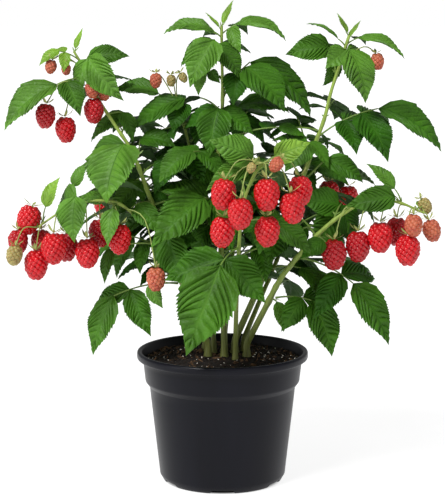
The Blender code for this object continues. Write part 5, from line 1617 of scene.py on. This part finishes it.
# fruit
fruitHabit = {
    "drupelets": 86,  # on a berry of the reference width
    "reference": 25 * mm,
    "fewest": 0.42,  # shares of that number on the smallest and the largest berries
    "most": 1.05,
    "turn": 2.39996,  # the golden angle, in radians, from one drupelet to the next
    "firstAt": 0.93,  # the first drupelet; 1 is the stalk's end of a berry and -1 the tip
    "span": 1.9,
    "sizes": (0.90, 1.08),
    "narrow": 0.98,  # the berry's width, over that of its solid
    "conical": 0.15,  # how much narrower the tip is than the shoulders
    "tall": 1.09,  # the berry's height, over that of its solid
    "overlap": 2.55,  # size of a drupelet, over the spacing of its neighbours
    "sunk": 0.37,  # how deep its middle lies, over its size
    "coreDepth": 0.13,  # and the core's surface
    "coreRings": 7,
    "coreSides": 10,
    "stalkSides": 6,
    "stalkParts": (1.25, 0.85, 1.35),  # thickness at the foot, along it and at the berry
    "hairs": 60000.0,
    "hair": (0.5, 1.1),  # mm
    "hairLean": 0.4,
    "sepals": 5,
    "sepal": 12 * mm,
    "sepalWidth": 1.5 * mm,
    "sepalTurn": (-0.2, 0.2),
    "sepalRise": (0.0, 0.35),
    "sepalSize": (0.85, 1.15),
    "sepalBend": (-1.3, -0.3),  # backwards, as on ripe fruit
}


def eggPoint(berry, turned, z, shrink=0.0):
    # a point on the berry's surface; z runs from 1 at the stalk to -1 at the tip
    half = berry["width"] / 2
    tall = half * fruitShape["stretch"] * fruitHabit["tall"]
    wide = half * fruitHabit["narrow"] - shrink
    radius = wide * math.sqrt(max(0.0, 1 - z * z)) * (1 + fruitHabit["conical"] * z)
    height = (tall - shrink) * z
    place = Vector((radius * math.cos(turned), radius * math.sin(turned), height))
    slope = Vector((place.x / half, place.y / half, place.z * half / tall ** 2)).normalized()
    place.z -= tall - half * fruitShape["stretch"]
    tip = upWay.rotation_difference(berry["up"])
    return berry["centre"] + tip @ place, tip @ slope


def drupeletsOf(berry, count, across, chance):
    # place, outward direction and size of each
    turn = chance.uniform(0, 6.28)
    found = []
    for k in range(count):
        z = fruitHabit["firstAt"] - fruitHabit["span"] * (k + 0.5) / count
        place, out = eggPoint(berry, turn + fruitHabit["turn"] * k, z, fruitHabit["sunk"] * across)
        found.append((place, out, across * chance.uniform(*fruitHabit["sizes"])))
    return found


def berryCore(berry, depth):
    # the body under the drupelets
    rings, sides = fruitHabit["coreRings"], fruitHabit["coreSides"]
    points = []
    for r in range(rings):
        z = math.cos(math.pi * (r + 1) / (rings + 1))
        points += [eggPoint(berry, 2 * math.pi * s / sides, z, depth)[0] for s in range(sides)]
    points += [eggPoint(berry, 0, z, depth)[0] for z in (1, -1)]
    faces = ringTriangles(rings, sides, turned=True)
    last, top = (rings - 1) * sides, rings * sides
    for s in range(sides):
        after = (s + 1) % sides
        faces += [(s, after, top), (last + after, last + s, top + 1)]
    return asArray(points), np.array(faces)


def addCalyx(sheaf, berry, chance):
    turn = chance.uniform(0, 6.28)
    share = berry["width"] / fruitHabit["reference"]
    size = fruitHabit["sepal"] * max(0.6, min(1.1, share))
    tip = upWay.rotation_difference(berry["up"])
    for k in range(fruitHabit["sepals"]):
        around = turn + 2 * math.pi * k / fruitHabit["sepals"] + chance.uniform(*fruitHabit["sepalTurn"])
        rise = chance.uniform(*fruitHabit["sepalRise"])
        out = tip @ Vector((math.cos(around), math.sin(around), rise)).normalized()
        foot = berry["top"] + berry["up"] * 0.4 * mm + out * mm
        length = size * chance.uniform(*fruitHabit["sepalSize"])
        arc = Arc(foot, out, berry["up"], length, chance.uniform(*fruitHabit["sepalBend"]))
        addBract(sheaf, arc, fruitHabit["sepalWidth"], chance)


def makeFruit():
    berries = [berry for mass in masses.values() for berry in mass["berries"]]
    dome = unitShape("drupelet", "dome")
    chance = random.Random(12)
    cores, calyx, stalks = Sheaf(), Sheaf(), Sheaf()
    for slot, (stage, finish) in enumerate(fruitLooks.items()):
        drupelets = []
        for berry in berries:
            if berry["stage"] != stage:
                continue
            share = (berry["width"] / fruitHabit["reference"]) ** 1.1
            share = max(fruitHabit["fewest"], min(fruitHabit["most"], share))
            count = round(fruitHabit["drupelets"] * share)
            across = fruitHabit["overlap"] * berry["width"] / math.sqrt(count)
            drupelets += drupeletsOf(berry, count, across, chance)
            cores.add(*berryCore(berry, fruitHabit["coreDepth"] * across), slot)
        if not drupelets:
            continue
        places, outward, sizes = zip(*drupelets)
        cloud = bpy.data.meshes.new(stage)
        cloud.from_pydata([tuple(place) for place in places], [], [])
        aims = cloud.attributes.new("outward", "FLOAT_VECTOR", "POINT")
        aims.data.foreach_set("vector", asArray(outward).ravel())
        widths = cloud.attributes.new("size", "FLOAT", "POINT")
        widths.data.foreach_set("value", np.array(sizes))
        source = addHelper(stage, cloud)
        mesh = grownFrom(source, setDrupelets, {"Shape": dome, "Swell": 1.0, "Finish": finish})
        addPiece("drupelets" + stage.capitalize(), mesh, [])
        drop(source)
    footPart, plainPart, endPart = fruitHabit["stalkParts"]
    for berry in berries:
        fine = smoothLine(berry["stalk"])
        parts = [footPart, *[plainPart] * (len(fine) - 2), endPart]
        radii = [fruitShape["stalkRadius"] * part for part in parts]
        stalks.add(*tubeArrays(fine, radii, fruitHabit["stalkSides"]), 0)
        addCalyx(calyx, berry, chance)
    addPiece("berryCores", cores.mesh("berryCores", list(fruitLooks.values())), [])
    addPiece("sepals", calyx.mesh("sepals", [sepalGreen]), [], sharp=60)
    stalkMesh = stalks.mesh("fruitStalks", [fruitStalkPale])
    source = addHelper("fruitStalkSource", stalkMesh)
    hair = unitShape("hair", "cone", sides=3, foot=0.1)
    hairs = strewOn(source, hair, fruitHabit["hairs"], fruitHabit["hair"],
                    fruitHabit["hairLean"], 8, sepalGreen)
    addPiece("fruitStalks", stalkMesh, [], sharp=60)
    addPiece("fruitStalkHairs", hairs, [])
    drop(source)
    drop(dome)


makeFruit()


# compost
soilHabit = {
    "rings": 40,
    "sides": 96,
    "roughness": 1.6 * mm,
    "uneven": (-1, 0.6),
    "edge": 0.5 * mm,  # how far it stays inside its solid
    "lean": 0.7,
}
# what lies on it: shape, number on a square metre, sizes in mm, finish and seed
soilStrewn = {
    "soilCrumbs": (dict(seed=1, long=1.2, high=0.8), 60000.0, (1.2, 3.6), soilCrumb, 2),
    "barkChips": (dict(seed=4, long=2.4, high=0.5), 8000.0, (2.0, 5.6), barkChip, 3),
    "perlite": (dict(seed=7, long=1.1, high=0.9), 5200.0, (1.1, 2.9), perliteWhite, 6),
}


def insideRadius(height):
    # the pot's inside, at a height
    share = height / potShape["wallHeight"]
    foot = potShape["footRadius"] + 4 * mm
    return foot + (potShape["wallRadius"] - foot) * share - potShape["wall"]


def makeCompost():
    chance = random.Random(3)
    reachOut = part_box("compost")[1].x - soilHabit["edge"]
    sides, rings = soilHabit["sides"], soilHabit["rings"]
    dipFrom, dipSpan = soilShape["flat"], reachOut - soilShape["flat"]
    verts = [(0.0, 0.0, soilShape["top"])]
    for r in range(1, rings + 1):
        radius = reachOut * r / rings
        dip = soilShape["dip"] * max(0.0, (radius - dipFrom) / dipSpan)
        for s in range(sides):
            turned = 2 * math.pi * (s + 0.5 * (r % 2)) / sides
            uneven = chance.uniform(*soilHabit["uneven"]) * soilHabit["roughness"] * (r < rings)
            height = soilShape["top"] - dip + uneven
            verts.append((radius * math.cos(turned), radius * math.sin(turned), height))
    faces = [(0, 1 + s, 1 + (s + 1) % sides) for s in range(sides)]
    for r in range(rings - 1):
        for s in range(sides):
            a, b = 1 + r * sides + s, 1 + r * sides + (s + 1) % sides
            c, d = a + sides, b + sides
            faces += [(a, c, d), (a, d, b)] if r % 2 else [(a, c, b), (b, c, d)]
    edge = len(verts) - sides
    wallHeight, footHeight, floor = potShape["wallHeight"], 12 * mm, potShape["floor"] + gap
    for radius, height in ((insideRadius(wallHeight) - 1 * mm, wallHeight + 2 * mm),
                           (insideRadius(footHeight) - 1 * mm, footHeight),
                           (potShape["footRadius"] - 4 * mm, floor)):
        turns = [2 * math.pi * s / sides for s in range(sides)]
        verts += [(radius * math.cos(turned), radius * math.sin(turned), height) for turned in turns]
    faces += ringTriangles(4, sides, first=edge, turned=True)
    middle, last = len(verts), len(verts) - sides
    verts.append((0.0, 0.0, floor))
    faces += [(last + (s + 1) % sides, last + s, middle) for s in range(sides)]
    sheaf = Sheaf()
    sheaf.add(np.array(verts), np.array(faces), 0)
    addPiece("compostBody", sheaf.mesh("compost", [soilDark]), ["compost"], sharp=40)
    # crumbs lie on the open top alone, inside its outermost ring
    topOnly = bpy.data.meshes.new("soilTop")
    topOnly.from_pydata(verts[:edge], [], [face for face in faces if max(face) < edge])
    source = addHelper("soilTop", topOnly)
    for name, (form, density, sizes, finish, seed) in soilStrewn.items():
        shape = unitShape(name + "Shape", "clod", **form)
        mesh = strewOn(source, shape, density, sizes, soilHabit["lean"], seed, finish)
        addPiece(name, mesh, [])
        drop(shape)
    drop(source)


makeCompost()


def potOutline():
    # half the pot's section, from the middle of its underside round the rim to the middle of its floor
    wallHeight, high = potShape["wallHeight"], potShape["height"]
    stepTop = wallHeight + potShape["stepHeight"]
    lipUnder = high - potShape["lipHeight"]
    foot, wide = potShape["footRadius"], potShape["wallRadius"]
    band, rim = potShape["bandRadius"], potShape["radius"]
    footTop, footOut = 7 * mm, foot + 4 * mm
    outline = [(0.0, 0.0)]

    def near(radius, height, *steps):
        # points at steps in mm from a radius and a height
        outline.extend((radius + across * mm, height + up * mm) for across, up in steps)

    near(foot, 0.0, (-2.5, 0.0), (-0.6, 0.3), (0.8, 1.4), (1.6, 3.0), (4, 7), (4.3, 9))
    for i in range(1, 9):
        share = i / 9
        outline.append((footOut + (wide - foot - 4 * mm) * share, footTop + (wallHeight - footTop) * share))
    near(wide, wallHeight, (-0.3, -1.2), (0.1, -0.4), (1.0, 0.4))
    near(band, stepTop, (-3.6, -0.9), (-3.0, 0.0), (-2.7, 1.2))
    near(band, lipUnder, (-0.8, -6), (-0.2, -1.2), (0.8, -0.2))
    near(rim, lipUnder, (-1.6, 0.3), (-0.5, 1.2), (0.0, 2.6))
    near(rim, high, (0.0, -2.4), (-0.4, -1.0), (-1.3, -0.2), (-2.4, 0.0), (-3.8, -0.1), (-5.0, -0.8),
         (-5.8, -2.2))
    near(band - 3 * mm - potShape["wall"], stepTop, (0.0, 0.5))
    near(insideRadius(wallHeight), wallHeight, (0.0, -1))
    near(insideRadius(10 * mm), 0.0, (0.0, 10))
    near(foot, potShape["floor"], (-3, 0.0))
    return [*outline, (0.0, potShape["floor"])]


def addDrains(pot):
    # cuts the notches at the foot
    cutters = bpy.data.collections.new("drains")
    helpers.children.link(cutters)
    for i in range(potShape["drains"]):
        block = bmesh.new()
        bmesh.ops.create_cube(block, size=1.0)
        angle = -math.pi / 2 + 2 * math.pi * i / potShape["drains"]
        for vertex in block.verts:
            taper = 1.0 - potShape["drainTaper"] * (vertex.co.z > 0)
            x = potShape["footRadius"] + vertex.co.x * potShape["drainDepth"]
            y = vertex.co.y * potShape["drainWidth"] * taper
            z = -1 * mm + (vertex.co.z + 0.5) * (potShape["drainHeight"] + 1 * mm)
            cosine, sine = math.cos(angle), math.sin(angle)
            vertex.co = (x * cosine - y * sine, x * sine + y * cosine, z)
        mesh = bpy.data.meshes.new("drain")
        block.to_mesh(mesh)
        block.free()
        cutters.objects.link(bpy.data.objects.new("drain", mesh))
    cut = pot.modifiers.new("drains", "BOOLEAN")
    cut.operation = "DIFFERENCE"
    cut.operand_type = "COLLECTION"
    cut.collection = cutters
    cut.solver = "EXACT"
    finished = evaluatedMesh(pot)
    drop(pot)
    for block in list(cutters.objects):
        drop(block)
    return finished


def makePot():
    outline = potOutline()
    mesh = bpy.data.meshes.new("potOutline")
    mesh.from_pydata([(r, 0.0, z) for r, z in outline], [(i, i + 1) for i in range(len(outline) - 1)], [])
    source = addHelper("potOutline", mesh)
    turn = source.modifiers.new("turn", "SCREW")
    turn.axis = "Z"
    turn.angle = 2 * math.pi
    turn.steps = potShape["sides"]
    turn.render_steps = potShape["sides"]
    turn.use_merge_vertices = True
    turn.merge_threshold = 1e-5
    turned = evaluatedMesh(source)
    drop(source)
    shape = bmesh.new()
    shape.from_mesh(turned)
    bmesh.ops.remove_doubles(shape, verts=shape.verts, dist=1e-6)
    if shape.calc_volume(signed=True) < 0:
        bmesh.ops.reverse_faces(shape, faces=shape.faces)
    shape.to_mesh(turned)
    shape.free()
    finished = addDrains(addHelper("potTurned", turned))
    finished.materials.clear()
    finished.materials.append(potPlastic)
    for polygon in finished.polygons:
        polygon.use_smooth = True
    addPiece("nurseryPot", finished, ["pot"], sharp=40)


makePot()
for thing in list(helpers.all_objects):
    bpy.data.objects.remove(thing)
bpy.data.collections.remove(helpers)


# floor, light and camera
studio = {
    "floor": 0.28,  # the floor's own white, and how far it glows like a lit table
    "floorGlow": 0.86,
    "floorHalf": 30.0,
    "dark": (-6, 1),  # mm round the pot's foot: the floor doesn't glow inside this ring, a painted shadow under the pot that keeps the drain notches dark
    "sky": 0.38,
    "lens": 119.9,
    "cameraPlace": (0.0, -1.8, 0.532),
    "cameraPitch": 8.58,
}
# kind, strength, size (in degrees for the sun), place and the height it aims at
lamps = {
    "sun": ("SUN", 2.9, 20, (-0.62, -0.75, 1.15), 0.0),
    "fill": ("AREA", 4.0, 1.4, (1.3, -1.7, 0.9), 0.28),
    "window": ("AREA", 16.0, 1.4, (-2.2, -1.3, 0.35), 0.28),  # a wide soft light from the left
}


def makeFloor():
    ground = bmesh.new()
    bmesh.ops.create_grid(ground, x_segments=2, y_segments=2, size=studio["floorHalf"])
    mesh = bpy.data.meshes.new("studioFloor")
    ground.to_mesh(mesh)
    ground.free()
    floor = bpy.data.objects.new("studioFloor", mesh)
    bpy.context.scene.collection.objects.link(floor)
    finish = Finish("floorWhite", (studio["floor"],) * 3, 0.9, 0.1)
    finish.give("Emission Color", (1.0, 1.0, 1.0, 1.0))
    where = finish.nodes.new("ShaderNodeTexCoord")
    away = finish.nodes.new("ShaderNodeVectorMath")
    away.operation = "LENGTH"
    finish.link(where.outputs["Object"], away.inputs[0])
    # no glow under and round the pot's foot: a painted shadow
    ring = [potShape["footRadius"] + step * mm for step in studio["dark"]]
    glowBesidePaintedShadow = finish.mapped(away.outputs["Value"], ring, (0.0, studio["floorGlow"]))
    finish.link(glowBesidePaintedShadow, finish.shader.inputs["Emission Strength"])
    mesh.materials.append(finish.material)


def makeSky():
    # it lights softly, and shows as plain white behind the plant
    sky = bpy.data.worlds.new("studioSky")
    sky.use_nodes = True
    nodes, links = sky.node_tree.nodes, sky.node_tree.links
    soft, white = nodes["Background"], nodes.new("ShaderNodeBackground")
    for light in (soft, white):
        light.inputs["Color"].default_value = (1.0, 1.0, 1.0, 1.0)
    soft.inputs["Strength"].default_value = studio["sky"]
    ray = nodes.new("ShaderNodeLightPath")
    choice = nodes.new("ShaderNodeMixShader")
    links.new(ray.outputs["Is Camera Ray"], choice.inputs["Fac"])
    links.new(soft.outputs["Background"], choice.inputs[1])
    links.new(white.outputs["Background"], choice.inputs[2])
    links.new(choice.outputs["Shader"], nodes["World Output"].inputs["Surface"])
    bpy.context.scene.world = sky


def makeStudio():
    scene = bpy.context.scene
    makeFloor()
    makeSky()
    scene.view_settings.view_transform = "Standard"
    for name, (kind, strength, size, place, height) in lamps.items():
        light = bpy.data.lights.new(name, kind)
        light.energy = strength
        if kind == "SUN":
            light.angle = math.radians(size)
        else:
            light.size = size
        lamp = bpy.data.objects.new(name, light)
        scene.collection.objects.link(lamp)
        lamp.location = place
        aim = Vector((0.0, 0.0, height)) - Vector(place)
        lamp.rotation_euler = aim.to_track_quat("-Z", "Y").to_euler()
    lens = bpy.data.cameras.new("camera")
    lens.lens = studio["lens"]
    lens.sensor_width = 36
    camera = bpy.data.objects.new("camera", lens)
    scene.collection.objects.link(camera)
    camera.location = studio["cameraPlace"]
    camera.rotation_euler = (math.radians(90 - studio["cameraPitch"]), 0, 0)
    scene.camera = camera


makeStudio()
